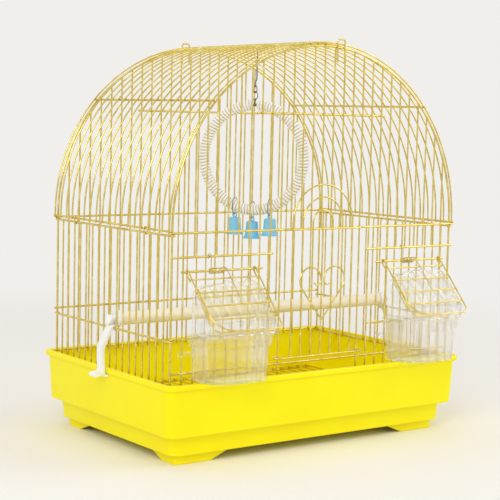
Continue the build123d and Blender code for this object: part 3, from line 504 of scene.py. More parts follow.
def trayRib(spaces):
    # Rib inside the left wall, under the side panel's bottom wire
    top = height["sideBottom"] - frameFlat
    wallX = tray["lipOut"] + tray["wall"] / 2 - trayHalf[0]
    innerX = tray["ribDeep"] / 2 - sideWireX
    low = top - tray["ribTall"]
    outline = [(wallX, top), (innerX, top), (wallX + tray["draft"], low), (wallX, low)]
    y = spaces * sidePitch + cage["trayForward"] - tray["ribThick"] / 2
    return prism(outline, "y", y, y + tray["ribThick"])


forward = (0, -cage["trayForward"], 0)
piece("Tray", [trayShell()], "yellow_plastic", "cage", ["tray"], forward)
extras = bothSides(bothSides([trayFoot()]), 1) + bothSides([trayRib(s) for s in tray["ribSpaces"]])
softEdges(piece("TrayFeetAndRibs", extras, "yellow_plastic", "cage", at=forward), tray["edge"])
print("tray made")

grille = {"gap": 1.0, "rows": 4}


def floorGrille():
    # Long wires on the tray's ledge, and bars over them at the front bars' pitch
    inset = tray["lipOut"] + tray["draft"] + tray["wall"] + grille["gap"]
    halfX, halfY = trayHalf - inset
    lowZ = ledge + frameFlat
    highZ = lowZ + frameFlat + barFlat
    rowY = halfY - frameD
    wires = []
    for n in range(grille["rows"]):
        y = rowY * (2 * n / (grille["rows"] - 1) - 1)
        end = halfX - (tray["cornerR"] if n in (0, grille["rows"] - 1) else 0)
        wires.append(wireBar((-end, y, lowZ), (end, y, lowZ), frameD))
    last = int((halfX - tray["cornerR"]) / pitch)
    return wires + [wireBar((k * pitch, -halfY, highZ), (k * pitch, halfY, highZ), barD)
                    for k in range(-last, last + 1)]


piece("FloorGrille", floorGrille(), "gold_wire", "cage", ["floor_grille"], forward)

panel = {"hingeFrom": 70.0, "hingeTo": 161.0, "lowFrom": 60.0, "shortFrom": 57.8, "innerHalf": 78.0,
         "bracketSpaces": 1.5, "bracketHalf": 4.4, "bracketOver": 6.8, "bracketLeg": 22.0,
         "stapleX": 44.0, "stapleSoft": 2.0, "archSteps": 90, "archSink": 0.3}


def archHeight(x):
    # Height at which a bar runs into the arch: centre + sqrt(r^2 - x^2)
    return height["arch"] + sqrt((frontHalf - frameD * panel["archSink"]) ** 2 - x**2)


def upright(k, low, high):
    return wireBar((k * pitch, -sideHalf, low), (k * pitch, -sideHalf, high), barD)


def crossWire(x0, x1, name):
    return wireBar((x0, crossY, height[name]), (x1, crossY, height[name]), frameD)


def archedFrame():
    # The arched wire, the straight wire inside it and the bow that stands up over it
    curve = arcLine((0, height["arch"]), frontHalf, 0, 180, panel["archSteps"])
    low = rim - cage["dip"]
    arch = np.concatenate([[(frontHalf, low)], curve, [(-frontHalf, low)]])
    y, half = -sideHalf + barFlat + frameFlat, panel["innerHalf"]
    inner = wireBar((-half, y, height["inner"]), (half, y, height["inner"]), frameD)
    x, half = panel["bracketSpaces"] * pitch, panel["bracketHalf"]
    top = height["arch"] + frontHalf + panel["bracketOver"]
    low = top - panel["bracketLeg"]
    bow = softLine([(x - half, low), (x - half, top), (x + half, top), (x + half, low)], half / 2, steps=8)
    return [bentWire(arch, "y", postY, frameD), inner, bentWire(bow, "y", frontFace - barFlat, barD)]


def frontPanel():
    # Frame, bars with breaks at the door and the feeders, and cross wires
    base = rim - cage["dip"]
    wires = archedFrame()
    for k in range(1 - lastBar, lastBar):
        top = archHeight(k * pitch)
        if abs(k) <= cage["doorBars"]:
            wires.append(upright(k, height["mid"] - frameD / 2, top))
        elif cage["feederFirst"] <= abs(k) <= cage["feederLast"]:
            wires.append(upright(k, base, height["low"] + frameD / 2))
            wires.append(upright(k, height["short"] - frameD / 2, top))
        else:
            wires.append(upright(k, base, top))
    end = frontHalf + cage["pastPost"]
    wires += [crossWire(-end, end, "mid"), crossWire(-end, end, "bottom")]
    for sign in handed.values():
        wires.append(crossWire(sign * panel["shortFrom"], sign * end, "short"))
        wires.append(crossWire(sign * panel["lowFrom"], sign * end, "low"))
    return wires


def backPanel():
    # The same frame turned half a turn about the cage's middle, with whole bars
    wires = archedFrame()
    wires += [upright(k, rim - cage["dip"], archHeight(k * pitch)) for k in range(1 - lastBar, lastBar)]
    end = frontHalf + cage["pastPost"]
    wires += [crossWire(-end, end, name) for name in ("mid", "backLow", "backBottom")]
    return [{**w, "points": w["points"] * (-1, -1, 1)} for w in wires]


def hingeWires():
    z = height["hinge"]
    return [wireBar((s * panel["hingeFrom"], hingeY, z), (s * panel["hingeTo"], hingeY, z), frameD)
            for s in handed.values()]


def doorStaple():
    # Wire that keeps the door's top against the panel
    y = doorY - 3 * barFlat - cage["gap"] - barFlat
    x = panel["stapleX"]
    line = softLine([(-x, wiresY), (-x, y), (x, y), (x, wiresY)], panel["stapleSoft"])
    return [bentWire(line, "z", height["mid"], barD)]


hook = {"turn": 235.0, "steps": 28, "gap": 0.1}
sideTopZ = height["mid"] - frameD - hook["gap"]


def hookedWire(z):
    # Side wire whose ends wrap round the front and back posts
    reach = sideWireX - frontHalf
    front = arcLine((frontHalf, postY), reach, -hook["turn"], 0, hook["steps"])
    back = arcLine((frontHalf, -postY), reach, 0, hook["turn"], hook["steps"])
    return bentWire(np.concatenate([front, back]), "z", z, frameD)


def sidePanel():
    # The right-hand side: bars, and three hooked wires outside them
    low, top = rim - cage["dip"], sideTopZ + frameD / 2
    wires = [wireBar((sideBarX, j * sidePitch, low), (sideBarX, j * sidePitch, top), barD)
             for j in range(1 - lastSideBar, lastSideBar)]
    return wires + [hookedWire(z) for z in (sideTopZ, height["sideLow"], height["sideBottom"])]


roof = {"steps": 96, "railAngle": 42.0, "railPast": 1.0, "tieD": 1.0, "tieSpaces": 5.5}
roofLow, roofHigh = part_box("roof_panel")
railR = sideFace + frameFlat
roofR = railR + frameFlat + barFlat
roofEdgeX = (roofHigh.x - roofLow.x) * 500 - 2 * barFlat - frameFlat


def roofPanel():
    # Arches on long wires; the arches' ends come down beside the edge wires
    centre = (0, height["arch"])
    footX = roofEdgeX + frameFlat + barFlat
    curve = arcLine(centre, roofR, 0, 180, roof["steps"])
    line = np.concatenate([[(footX, height["mid"])], curve, [(-footX, height["mid"])]])
    arch = bentWire(line, "y", 0, barD)
    wires = [moved(arch, (0, j * sidePitch, 0)) for j in range(-lastSideBar, lastSideBar + 1)]
    rails = [arcLine(centre, railR, a, a, 0)[0] for a in (roof["railAngle"], 90, 180 - roof["railAngle"])]
    rails += [(s * roofEdgeX, height["roofEdge"]) for s in handed.values()]
    end = sideHalf + frameD + roof["railPast"]
    return wires + [wireBar((x, -end, z), (x, end, z), frameD) for x, z in rails]


def roofTies():
    # Oval rings round the roof's edge wire and the side panel's top wire
    radius = frameD / 2 + roof["tieD"] / 2 + cage["pin"]
    line = np.concatenate([arcLine((sideWireX, sideTopZ), radius, -180, 0, 16),
                           arcLine((roofEdgeX, height["roofEdge"]), radius, 0, 180, 16)])
    tie = bentWire(line, "y", roof["tieSpaces"] * sidePitch, roof["tieD"], closed=True)
    return bothSides(bothSides([tie], 1))


rightSide = sidePanel()
for node, wires in (
        ("front_panel", frontPanel()), ("back_panel", backPanel()), ("hinge_wires", hingeWires()),
        ("door_staple", doorStaple()), ("right_side_panel", rightSide),
        ("left_side_panel", [mirrored(w) for w in rightSide]), ("roof_panel", roofPanel()),
        ("roof_ties", roofTies())):
    piece(node.title().replace("_", ""), wires, "gold_wire", "cage", [node])
print("panels made")

door = {"bottomAbove": 13.5, "archAbove": 142.0, "loopTail": 3.0, "pointAbove": 47.9, "lobeAbove": 86.5,
        "lobeX": 14.6, "lobeR": 12.8, "curlR": 4.6, "curlTurn": 150.0, "pointSoft": 1.6, "steps": 40}
doorLow = rim + door["bottomAbove"]
doorArchZ = rim + door["archAbove"]


def doorArch(k):
    # Arched wire that stands for the bars k to each side of the middle
    x, low = k * pitch, doorLow - frameD / 2
    curve = arcLine((0, doorArchZ), x, 0, 180, door["steps"])
    return bentWire(np.concatenate([[(x, low)], curve, [(-x, low)]]), "y", doorY, barD)


def guideWire():
    # Bottom wire, its ends bent round the two guide bars
    y = doorY - 2 * barFlat
    x = (cage["doorBars"] + 1) * pitch
    r = -sideHalf - y
    loop = arcLine((x, -sideHalf), r, -90, 90, 20)
    right = np.concatenate([loop, [(x - door["loopTail"], -sideHalf + r)]])
    return bentWire(np.concatenate([right[::-1] * (-1, 1), right]), "z", doorLow, barD)


def heartWire():
    # Both lobes and their curled ends in one wire; a lobe starts where a line from the point touches it
    point = np.array([0, rim + door["pointAbove"]])
    centre = np.array([door["lobeX"], rim + door["lobeAbove"]])
    reach = np.hypot(*(centre - point))
    r, curlR = door["lobeR"], door["curlR"]
    start = np.degrees(atan2(point[1] - centre[1], -centre[0]) + atan2(sqrt(reach**2 - r**2), r))
    lobe = arcLine(centre, r, start, 180, door["steps"])
    curl = arcLine((centre[0] - r + curlR, centre[1]), curlR, 180, 180 + door["curlTurn"], 16)
    half = np.concatenate([lobe, curl[1:]])
    tip = softLine([half[0] * (-1, 1), point, half[0]], door["pointSoft"])[1:-1]
    return bentWire(np.concatenate([half[::-1] * (-1, 1), tip, half]), "y", doorY - 2 * barFlat, barD)


middleBar = wireBar((0, doorY, doorLow - frameD / 2), (0, doorY, doorArchZ + pitch), barD)
doorWires = [doorArch(k) for k in range(1, cage["doorBars"] + 1)] + [middleBar, guideWire(), heartWire()]
piece("FrontDoor", doorWires, "gold_wire", "door", ["front_door"])
print("door made")

flap = {"angle": 42.0, "length": 68.0, "half": 37.5, "cornerR": 7.0, "crossDown": (9.3, 24.0, 38.7, 53.4),
        "back": 10.0, "innerCornerR": 20.0, "innerStart": 20.0}
flapA = radians(flap["angle"])
loopR = frameD / 2 + cage["pin"] + flapD / 2
flapInner = loopR - 2 * flapFlat


def onFlap(points):
    # Rows (x, down the flap from the hinge axis, out from it) in the flap's place at rest
    x, down, out = np.asarray(points, float).T
    return np.column_stack([x, hingeY - down * sin(flapA) - out * cos(flapA),
                            height["hinge"] - down * cos(flapA) + out * sin(flapA)])


def flapWires():
    # Frame wire with a loop round the hinge wire on each side, a second wire inside it, and cross wires
    half, length, corner, r = flap["half"], flap["length"], flap["cornerR"], flap["innerCornerR"]
    turn = arcLine((0, 0), loopR, -90, 90, 24)
    loop = np.column_stack([np.full(len(turn), -half), -turn[:, 0], turn[:, 1]])
    bend = inPlane(arcLine((-half + corner, length - corner), corner, 180, 90, 10), "z", loopR)
    left = np.concatenate([[(-half, flap["back"], -loopR)], loop, bend])
    wires = [tube(onFlap(np.concatenate([left, left[::-1] * (-1, 1, 1)])), flapD, (1, 0, 0))]
    x = -half + flapD
    second = inPlane(arcLine((x + r, length - flapD - r), r, 180, 90, 16), "z", loopR)
    second = np.concatenate([[(x, flap["innerStart"], loopR)], second])
    wires.append(tube(onFlap(second), flapD, (0, -1, 0)))
    for down in flap["crossDown"]:
        ends = onFlap([(-half - flapD, down, flapInner), (half + flapD, down, flapInner)])
        wires.append(tube(ends, flapD, (0, 0, 1)))
    return wires


spring = {"d": 1.0, "gap": 0.8, "turns": 9, "pitch": 1.8, "x": -5.0, "tail": 2.5, "leg": 40.0, "steps": 24,
          "sides": 10}
coilR = frameD / 2 + spring["gap"] + spring["d"] / 2


def coilLine(start, end):
    # Helix round the hinge axis, n turns from its left end: (x + pitch n, y - r cos t, z - r sin t)
    n = np.linspace(start, end, int(abs(end - start) * spring["steps"]) + 1)
    t = 2 * pi * n
    x = spring["x"] + spring["pitch"] * (n - spring["turns"] / 2)
    return np.column_stack([x, hingeY - coilR * np.cos(t), height["hinge"] - coilR * np.sin(t)])


def fixedCoil():
    # Coil and its fixed leg, which hooks over the short wire above
    coil = coilLine(0, spring["turns"])
    x, y = coil[0, :2]
    z = height["short"]
    bend = crossY - y
    over = arcLine((y + bend, z), bend, 0, 180, 14)
    leg = np.concatenate([[(y + 2 * bend, z - spring["tail"])], over])
    line = np.concatenate([inPlane(leg, "x", x), coil])
    return tube(line, spring["d"], (1, 0, 0), sides=spring["sides"])


def movingLeg():
    # Last half turn and the leg that lies down the flap
    end = spring["turns"] + 1 - flap["angle"] / 360
    turn = coilLine(end - 0.5, end)
    foot = turn[-1] + np.array([0, -sin(flapA), -cos(flapA)]) * spring["leg"]
    return tube(np.concatenate([turn, [foot]]), spring["d"], (1, 0, 0), sides=spring["sides"])


for name, sign in handed.items():
    place, title, body = (sign * cage["feederX"], 0, 0), name.title(), f"flap_{name}"
    piece("Flap" + title, flapWires(), "gold_wire", body, [f"feeder_flap_{name}"], place)
    piece("SpringLeg" + title, [movingLeg()], "spring_wire", body, [f"spring_leg_{name}"], place)
coils = [moved(fixedCoil(), (sign * cage["feederX"], 0, 0)) for sign in handed.values()]
piece("FlapSprings", coils, "spring_wire", "cage", ["flap_springs"])
print("flaps made")

toy = {"turn": -54.4, "shank": 36.0, "hookD": 1.4, "crookTurn": 200, "hookSoft": 2.0, "eyeR": 2.2,
       "eyeD": 1.0, "linkLong": 14.0, "linkR": 1.9, "linkD": 1.0, "linkTwist": 30.0, "ringR": 4.2,
       "chainGap": 0.2, "hoopR": 53.5, "hoopD": 12.0, "coreD": 3.0, "gapTurn": 5.0, "windings": 104,
       "ridge": 1.7, "endTurns": 1.2, "stepsATurn": 8, "sides": 28}
railZ = height["arch"] + railR
toyY = sidePitch / 2
hookFoot = railZ - toy["shank"]
eyeZ = hookFoot - toy["eyeR"]
linkTop = eyeZ - toy["eyeR"] + (toy["eyeD"] + toy["linkD"]) / 2 + toy["chainGap"]
linkBottom = linkTop - toy["linkLong"]
hoopEyeZ = linkBottom + (toy["eyeD"] + toy["linkD"]) / 2 + toy["chainGap"] - toy["eyeR"]
hoopZ = hoopEyeZ - toy["eyeR"] - toy["eyeD"] / 2 - toy["coreD"] / 2 - toy["hoopR"]
upward = np.array([0, 0, 1])
toyAlong = np.array([cos(radians(toy["turn"])), sin(radians(toy["turn"])), 0])
toyThrough = np.array([-toyAlong[1], toyAlong[0], 0])


def onToy(points, way=toyAlong):
    # Points (u, z) in the upright plane of a direction, the hoop's own unless another is given
    p = np.asarray(points, float)
    return p[:, :1] * way + np.array([0, toyY, 0]) + p[:, 1:] * upward


def toyEye(z):
    # Round eye across the hoop's plane
    line = ringLine((0, toyY, z), toy["eyeR"], upward, toyThrough)
    return tube(line, toy["eyeD"], toyAlong, closed=True)


def toyHook():
    # Crook over the roof's top wire, a shank and an eye
    r = frameD / 2 + cage["pin"] + toy["hookD"] / 2
    crook = arcLine((0, railZ), r, toy["crookTurn"], 0, 24)
    line = softLine(np.concatenate([crook, [(r, hookFoot + 2 * r), (0, hookFoot)]]), toy["hookSoft"])
    return [bentWire(line, "y", toyY, toy["hookD"]), toyEye(eyeZ)]


def toyLink():
    # Small link and a round ring under it, each turned 60 degrees on from what it hangs on
    r, twist = toy["linkR"], radians(toy["linkTwist"])
    low = linkBottom + 2 * toy["ringR"] - toy["linkD"] - toy["chainGap"]
    line = np.concatenate([arcLine((0, low + r), r, -180, 0, 16), arcLine((0, linkTop - r), r, 0, 180, 16)])
    way, ringWay = (cos(twist) * toyAlong + sign * sin(twist) * toyThrough for sign in (1, -1))
    ring = ringLine((0, toyY, linkBottom + toy["ringR"]), toy["ringR"], ringWay, upward)
    return [tube(onToy(line, way), toy["linkD"], np.cross(way, upward), closed=True),
            tube(ring, toy["linkD"], np.cross(ringWay, upward), closed=True)]


def hoopWinding():
    # Torus whose tube swells and draws in once a turn, the ridges slanting like one wound yarn:
    # r(u, v) = R + ridge (|sin pi (windings u + v)| - 1), closing on the core at both ends
    gap, count, core = toy["gapTurn"], toy["windings"], toy["coreD"] / 2
    u = np.linspace(0, 1, count * toy["stepsATurn"] + 1)
    t = np.radians(90 + gap / 2 + (360 - gap) * u)
    v = np.linspace(0, 1, toy["sides"], endpoint=False)
    outward = np.cos(t)[:, None] * toyAlong + np.sin(t)[:, None] * upward
    centre = np.array([0, toyY, hoopZ]) + toy["hoopR"] * outward
    swell = np.abs(np.sin(pi * (count * u[:, None] + v[None, :]))) - 1
    r = toy["hoopD"] / 2 + toy["ridge"] * swell
    close = np.clip(np.minimum(u, 1 - u)[:, None] * count / toy["endTurns"], 0, 1)
    r = core + (r - core) * np.sqrt(1 - (1 - close) ** 2)
    a = 2 * pi * v[None, :, None]
    circle = np.cos(a) * outward[:, None] - np.sin(a) * toyThrough
    return skin(centre[:, None] + r[:, :, None] * circle, along=u * count)


core = onToy(arcLine((0, hoopZ), toy["hoopR"], 90, 450, 96)[:-1])
core = tube(core, toy["coreD"], toyThrough, closed=True)
piece("ToyHook", toyHook(), "steel_wire", "cage", ["toy_hook"])
piece("ToyLink", toyLink(), "steel_wire", "link", ["toy_link"])
piece("HoopWinding", [hoopWinding()], "cotton_yarn", "hoop", ["hoop_wrap"])
piece("HoopCore", [core], "steel_wire", "hoop", ["hoop_core"])
piece("HoopEye", [toyEye(hoopEyeZ)], "steel_wire", "hoop", ["hoop_eye"])

bells = {"turn": 20.8, "ringD": 0.8, "ringGap": 2.25, "flareR": 10.0, "waistR": 6.8, "topR": 6.0,
         "tall": 17.5, "flareTall": 5.0, "wall": 1.2, "softness": 1.3, "crownR": 0.4, "loopSink": 0.4,
         "loopR": 2.1, "loopD": 1.3, "clapperD": 1.0, "weightD": 4.2, "weightTall": 4.0, "weightSoft": 0.9,
         "weightIn": 0.2, "belowShare": 0.86}
ringR = toy["hoopD"] / 2 + bells["ringGap"] + bells["ringD"] / 2
loopDrop = ringR - (bells["ringD"] + bells["loopD"]) / 2 - toy["chainGap"] + bells["loopR"]


def bellProfile():
    # From the inside of the crown down to the lip and up the outside
    tall, wall, crown, flareTall = bells["tall"], bells["wall"], bells["crownR"], bells["flareTall"]
    flare, waist, top = bells["flareR"], bells["waistR"], bells["topR"]
    outside = [(flare, 0), ((flare + 2 * waist) / 3, flareTall / 3), (waist, flareTall), (top, tall),
               (crown, tall)]
    inside = [(crown, tall - wall), (top - wall, tall - wall)]
    inside += [(r - wall, h) for r, h in outside[2::-1]]
    return softLine(inside + outside, bells["softness"], steps=5)


def clapper(x, y, low, top):
    # Rod with a turned weight at its foot
    radius, tall, middle = bells["weightD"] / 2, bells["weightTall"], bells["weightIn"]
    profile = [(middle, 0), (radius, 0), (radius, tall), (middle, tall)]
    weight = turned(softLine(profile, bells["weightSoft"], steps=5), (x, y, low), sides=24)
    rod = wireBar((x, y, low + tall / 2), (x, y, top), bells["clapperD"])
    return [rod, weight]


for name, sign in (("left", -1), ("middle", 0), ("right", 1)):
    t = radians(sign * bells["turn"])
    x, y, z = onToy([(toy["hoopR"] * sin(t), hoopZ - toy["hoopR"] * cos(t))])[0]
    loopZ = z - loopDrop
    mouth = loopZ - bells["loopR"] - bells["loopD"] / 2 - bells["tall"] + bells["loopSink"]
    top = mouth + bells["tall"] - bells["wall"]
    low = top - bells["tall"] * bells["belowShare"]
    loop = ringLine((x, y, loopZ), bells["loopR"], toyAlong, upward)
    loop = tube(loop, bells["loopD"], toyThrough, closed=True)
    ring = ringLine((x, y, z), ringR, upward, toyThrough, steps=48)
    ring = tube(ring, bells["ringD"], toyAlong, closed=True)
    for title, parts, slot, node in (
            ("Bell", [turned(bellProfile(), (x, y, mouth)), loop], "blue_plastic", "bell"),
            ("BellRing", [ring], "steel_wire", "bell_ring"),
            ("Clapper", clapper(x, y, low, top), "steel_wire", "bell_clapper")):
        piece(title + name.title(), parts, slot, f"bell_{name}", [f"{node}_{name}"])
print("toy made")

cup = {"half": 34.5, "front": 38.0, "topAbove": 45.0, "bottomAbove": 2.5, "wall": 1.8, "floor": 2.0,
       "floorIn": 8.0, "cornerR": 16.0, "backR": 4.5, "bow": 4.5, "draft": 1.5, "flutes": 12,
       "fluteDeep": 0.9, "flange": ((10.5, 2.6), (7.5, 3.4), (3.6, 4.1)), "flangeDraft": 0.5, "softness": 0.8,
       "hangerHalf": 26.0, "hangerWall": 1.5, "hangerDrop": 5.0, "earAbove": 27.0, "earTall": 4.5,
       "earReach": 9.0, "earR": 3.2, "earWall": 1.3, "edge": 0.4}
cupBackY = wiresY - cage["gap"]
cupFrontY = wiresY - cup["front"]
cupTop = rim + cup["topAbove"]


def cupPlan(steps=288):
    # Points round the cup's plan from its right back corner by the front, their outward directions,
    # and the share of the way along the sides and front, -1 on the back
    front, back, half = cup["cornerR"], cup["backR"], cup["half"]
    corners = [((half - back, cupBackY - back), back, 90), ((half - front, cupFrontY + front), front, 0),
               ((front - half, cupFrontY + front), front, -90), ((back - half, cupBackY - back), back, 180)]
    line = np.concatenate([arcLine(centre, r, a, a - 90, 24) for centre, r, a in corners])
    line = np.concatenate([line, line[:1]])
    run = lengthAlong(line)
    at = np.linspace(0, run[-1], steps, endpoint=False)
    points = spaced(line, at)
    forward = (cupBackY - points[:, 1]) / (cupBackY - cupFrontY)
    points[:, 1] -= cup["bow"] * forward * (1 - (points[:, 0] / half) ** 2)      # the front swells forward
    way = unit(np.roll(points, -1, axis=0) - np.roll(points, 1, axis=0))
    share = np.where(at < run[-2], at / run[-2], -1.0)
    return points, np.column_stack([-way[:, 1], way[:, 0]]), share


def cupShell():
    # Profile rows are distance out from the plan, height and weight of the flutes; between two creases
    # the wall swells: out = depth (|sin(pi n s)| - 1)
    points, outward, share = cupPlan()
    low = rim + cup["bottomAbove"]
    slope = tan(radians(cup["draft"]))
    foot = -(cupTop - low) * slope
    flange, wall, floorIn, inside = cup["flange"], cup["wall"], cup["floorIn"], low + cup["floor"]
    under = cupTop - flange[0][0]
    rows = [(foot - floorIn, low, 0), (foot, low, 1), (-(cupTop - under) * slope, under, 1)]
    for (deep, out), (nextDeep, _) in zip(flange, flange[1:]):
        rows += [(out, cupTop - deep, 0), (out - cup["flangeDraft"], cupTop - nextDeep, 0)]
    deep, out = flange[-1]
    rows += [(out, cupTop - deep, 0), (out, cupTop, 0), (-wall, cupTop, 0), (foot - wall, inside, 0),
             (foot - wall - floorIn, inside, 0)]
    rows = softLine(rows, cup["softness"], steps=4)
    crease = np.where(share < 0, 0, np.abs(np.sin(pi * cup["flutes"] * share)) - 1) * cup["fluteDeep"]
    plan = points[None] + outward[None] * (rows[:, :1] + rows[:, 2:] * crease)[:, :, None]
    x, y = plan[:, :, 0], plan[:, :, 1]
    y = np.where(rows[:, :1] > 0, np.minimum(y, cupBackY), y)     # the flange stops at the panel
    z = np.repeat(rows[:, 1:2], len(points), axis=1)
    return skin(np.stack([x, y, z], -1)[:, ::-1])


def cupHanger():
    # Lip behind the cup that hooks over the low wire
    z = height["low"] + frameD / 2 + cage["gap"]
    wall, half = cup["hangerWall"], cup["hangerHalf"]
    back = -sideHalf + barFlat + cage["gap"] + wall
    front = cupBackY - cup["wall"]
    low, high = z - cup["hangerDrop"], z + wall
    outline = [(front, z), (back - wall, z), (back - wall, low), (back, low), (back, high), (front, high)]
    return prism(outline, "x", -half, half)


def cupEar():
    # Strip beside the cup that ends in a flat ring
    wall = cup["earWall"]
    y, z = cupBackY - wall, rim + cup["earAbove"]
    tip = cup["half"] + cup["earReach"]
    tall = cup["earTall"] / 2
    start = cup["half"] - cup["wall"]
    outline = [(start, z - tall), (tip, z - tall), (tip, z + tall), (start, z + tall)]
    ring = ringLine((tip + cup["earR"] - wall, y, z), cup["earR"] - wall / 2, (1, 0, 0), upward)
    return [prism(outline, "y", y + wall / 2, y - wall / 2), tube(ring, wall, (0, 1, 0), closed=True)]


hood = {"half": 36.5, "back": 7.0, "wall": 1.4, "cornerR": 9.0, "topAbove": 91.5, "rise": 3.0, "lobeR": 6.0,
        "dip": 3.8, "peakShare": 0.5, "dipShare": 0.72, "softness": 1.2, "flutes": 6, "fluteDeep": 0.8,
        "slopeRows": 15, "dropRows": 6, "depthRows": 6}


def hoodArch(steps=144):
    # Front view from the left shoulder over the lobes to the right shoulder, resampled by length
    half, r, lobe = hood["half"], hood["cornerR"], hood["lobeR"]
    top = rim + hood["topAbove"]
    meet = np.degrees(np.arcsin(1 - hood["dip"] / lobe))
    reach = lobe * cos(radians(meet))
    dipX = half * (2 * hood["dipShare"] - 1)
    inX = half - r
    peak = np.array([[half * (2 * hood["peakShare"] - 1), top]])
    line = softLine(np.concatenate([
        arcLine((-inX, top - hood["rise"] - r), r, 180, 90, 16), peak,
        arcLine((dipX - reach, top - lobe), lobe, 90, meet, 10),
        arcLine((dipX + reach, top - lobe), lobe, 180 - meet, 90, 10)[1:],
        arcLine((inX, top - r), r, 90, 0, 16)]), hood["softness"], steps=3)
    return spaced(line, np.linspace(0, lengthAlong(line)[-1], steps + 1))


def slopeY(z):
    # Where the plane just behind the flap's cross wires lies at a height
    down = height["hinge"] - np.asarray(z, float)
    out = flapInner - flapFlat - cage["gap"]
    return hingeY - (down + out * sin(flapA)) * tan(flapA) - out * cos(flapA)


def hoodSheets():
    # A front whose columns run down the slope and then down to the cup, and a cover that runs back from
    # its edge along both sides and over the arch; the front draws in between its flutes:
    # in = depth (1 - |sin(pi n s)|), with s the share of its width
    x, top = hoodArch().T
    ends = [cupTop, height["hinge"]]
    bend = np.interp(cupFrontY, slopeY(ends), ends)     # height at which the slope meets the cup's front
    upper = top + (bend - top) * np.linspace(0, 1, hood["slopeRows"])[:, None]
    lower = np.repeat(np.linspace(bend, cupTop, hood["dropRows"])[1:, None], len(x), axis=1)
    z = np.concatenate([upper, lower])
    share = (x / hood["half"] + 1) / 2
    crease = hood["fluteDeep"] * (1 - np.abs(np.sin(pi * hood["flutes"] * share)))
    y = np.maximum(slopeY(z), cupFrontY) + crease
    front = np.stack([np.broadcast_to(x, z.shape), y, z], -1)
    edge = np.concatenate([front[:0:-1, 0], front[0], front[1:, -1]])
    n = np.linspace(0, 1, hood["depthRows"])[:, None, None]
    back = edge * (1, 0, 1) + (0, wiresY - hood["back"], 0)
    return [grid(back * (1 - n) + edge * n), grid(front)]


for name, sign in handed.items():
    place = (sign * cage["feederX"], 0, 0)
    title = name.title()
    piece(f"Cup{title}", [cupShell()], "clear_plastic", "cage", [f"feeder_cup_{name}"], place, sharp=30)
    extras = [cupHanger()] + bothSides(cupEar())
    softEdges(piece(f"CupHanger{title}", extras, "clear_plastic", "cage", at=place), cup["edge"], segments=2)
    cover = piece(f"Hood{title}", hoodSheets(), "clear_plastic", "cage", [f"feeder_hood_{name}"], place,
                  sharp=30)
    thicken(cover, hood["wall"])
print("feeders made")

perch = {"d": 12.8, "spaces": -0.5, "capD": 15.5, "capLong": 4.6, "capWall": 1.3, "neckD": 7.0,
         "buttonD": 9.0, "buttonLong": 4.0, "capSoft": 1.4, "middleR": 0.3, "fit": 0.05, "sides": 64}
clip = {"wide": 9.6, "thick": 3.0, "ringWall": 1.85, "elbowPastLip": 3.6, "elbowDown": 18.0,
        "footPastLip": 2.7, "hookGap": 0.6, "hookThick": 2.6, "tabPastLip": 12.4, "tabBelowLip": 0.8,
        "tabThick": 3.3, "tipUp": 1.0, "toeUp": 0.6, "bulge": 0.1, "softness": 2.2, "edge": 0.5,
        "ringTurn": (-60, 240),
        "root": ((0.3, -0.5), (1.2, 0.75)),     # out from the ring's bore, share of the ring's radius up
        "shoulder": (0.6, 0.3)}                 # the same, out from the ring
clipIn = frameFlat * sqrt(2) + cage["pin"]
clipOut = clipIn + clip["ringWall"]
perchY = perch["spaces"] * sidePitch
perchZ = height["sideLow"] + clipOut + cage["gap"] + perch["buttonD"] / 2
capOut = sideWireX - clipOut - cage["gap"]


def perchCap():
    # Turned from the bottom of the bore out over the collar to the button's end
    bore, collar, neck, button = (d / 2 for d in (
        perch["d"] + 2 * perch["fit"], perch["capD"], perch["neckD"], perch["buttonD"]))
    floor, start = capOut - perch["capWall"], capOut - perch["capLong"]
    step = sideWireX + frameFlat + cage["gap"]
    end = step + perch["buttonLong"]
    profile = [(perch["middleR"], floor), (bore, floor), (bore, start), (collar, start), (collar, capOut),
               (neck, capOut), (neck, step), (button, step), (button, end), (perch["middleR"], end)]
    part = turned(softLine(profile, perch["capSoft"]), (0, 0, 0))
    x, y, z = part["points"].T
    return {**part, "points": np.column_stack([z, y + perchY, perchZ - x])}


half = capOut - perch["capWall"]
ends = [(-half, perchY, perchZ), (half, perchY, perchZ)]
piece("Perch", [tube(ends, perch["d"], (0, 0, 1), sides=perch["sides"])], "pale_wood", "cage", ["perch"])
piece("PerchCaps", bothSides([perchCap()]), "white_plastic", "cage", ["perch_caps"])


def clipBlade():
    # The left-hand clip in side view, u inwards and v up from the wire's centre, carried across its width
    half = clip["thick"] / 2
    past = trayHalf[0] - sideWireX
    elbow, foot, tab = (past + clip[key] for key in ("elbowPastLip", "footPastLip", "tabPastLip"))
    lip = -tray["lipTall"] - clip["hookGap"] - above["sideLow"]
    hookIn = trayHalf[0] - tray["lipOut"] + cage["gap"] - sideWireX
    tabDown = lip - clip["tabBelowLip"]
    low = lip - clip["hookThick"]
    down = clip["elbowDown"]
    middle = (lip - down) / 2
    outline = [(-clipIn - out, share * clipOut) for out, share in clip["root"]]
    outline += [(-clipOut - clip["shoulder"][0], clip["shoulder"][1] * clipOut),
                (-elbow - half, -down + half), (-elbow - half - clip["bulge"], middle),
                (-foot - half, lip + clip["tabThick"]), (-tab, tabDown + clip["tabThick"]),
                (-tab - half, tabDown + clip["tipUp"]), (-tab, tabDown - half),
                (-foot - half, low + half + clip["toeUp"]), (-foot + half, low), (-hookIn, low),
                (-hookIn, lip), (-foot + half, lip), (-elbow + half, middle), (-elbow + half, -down)]
    steps = 5
    shape = softLine(outline + outline[:2], clip["softness"], steps)
    shape = shape[steps + 1:-steps]     # the root ends inside the ring
    start = perchY - clip["wide"] / 2
    return prism(shape + (-sideWireX, height["sideLow"]), "y", start, start + clip["wide"])


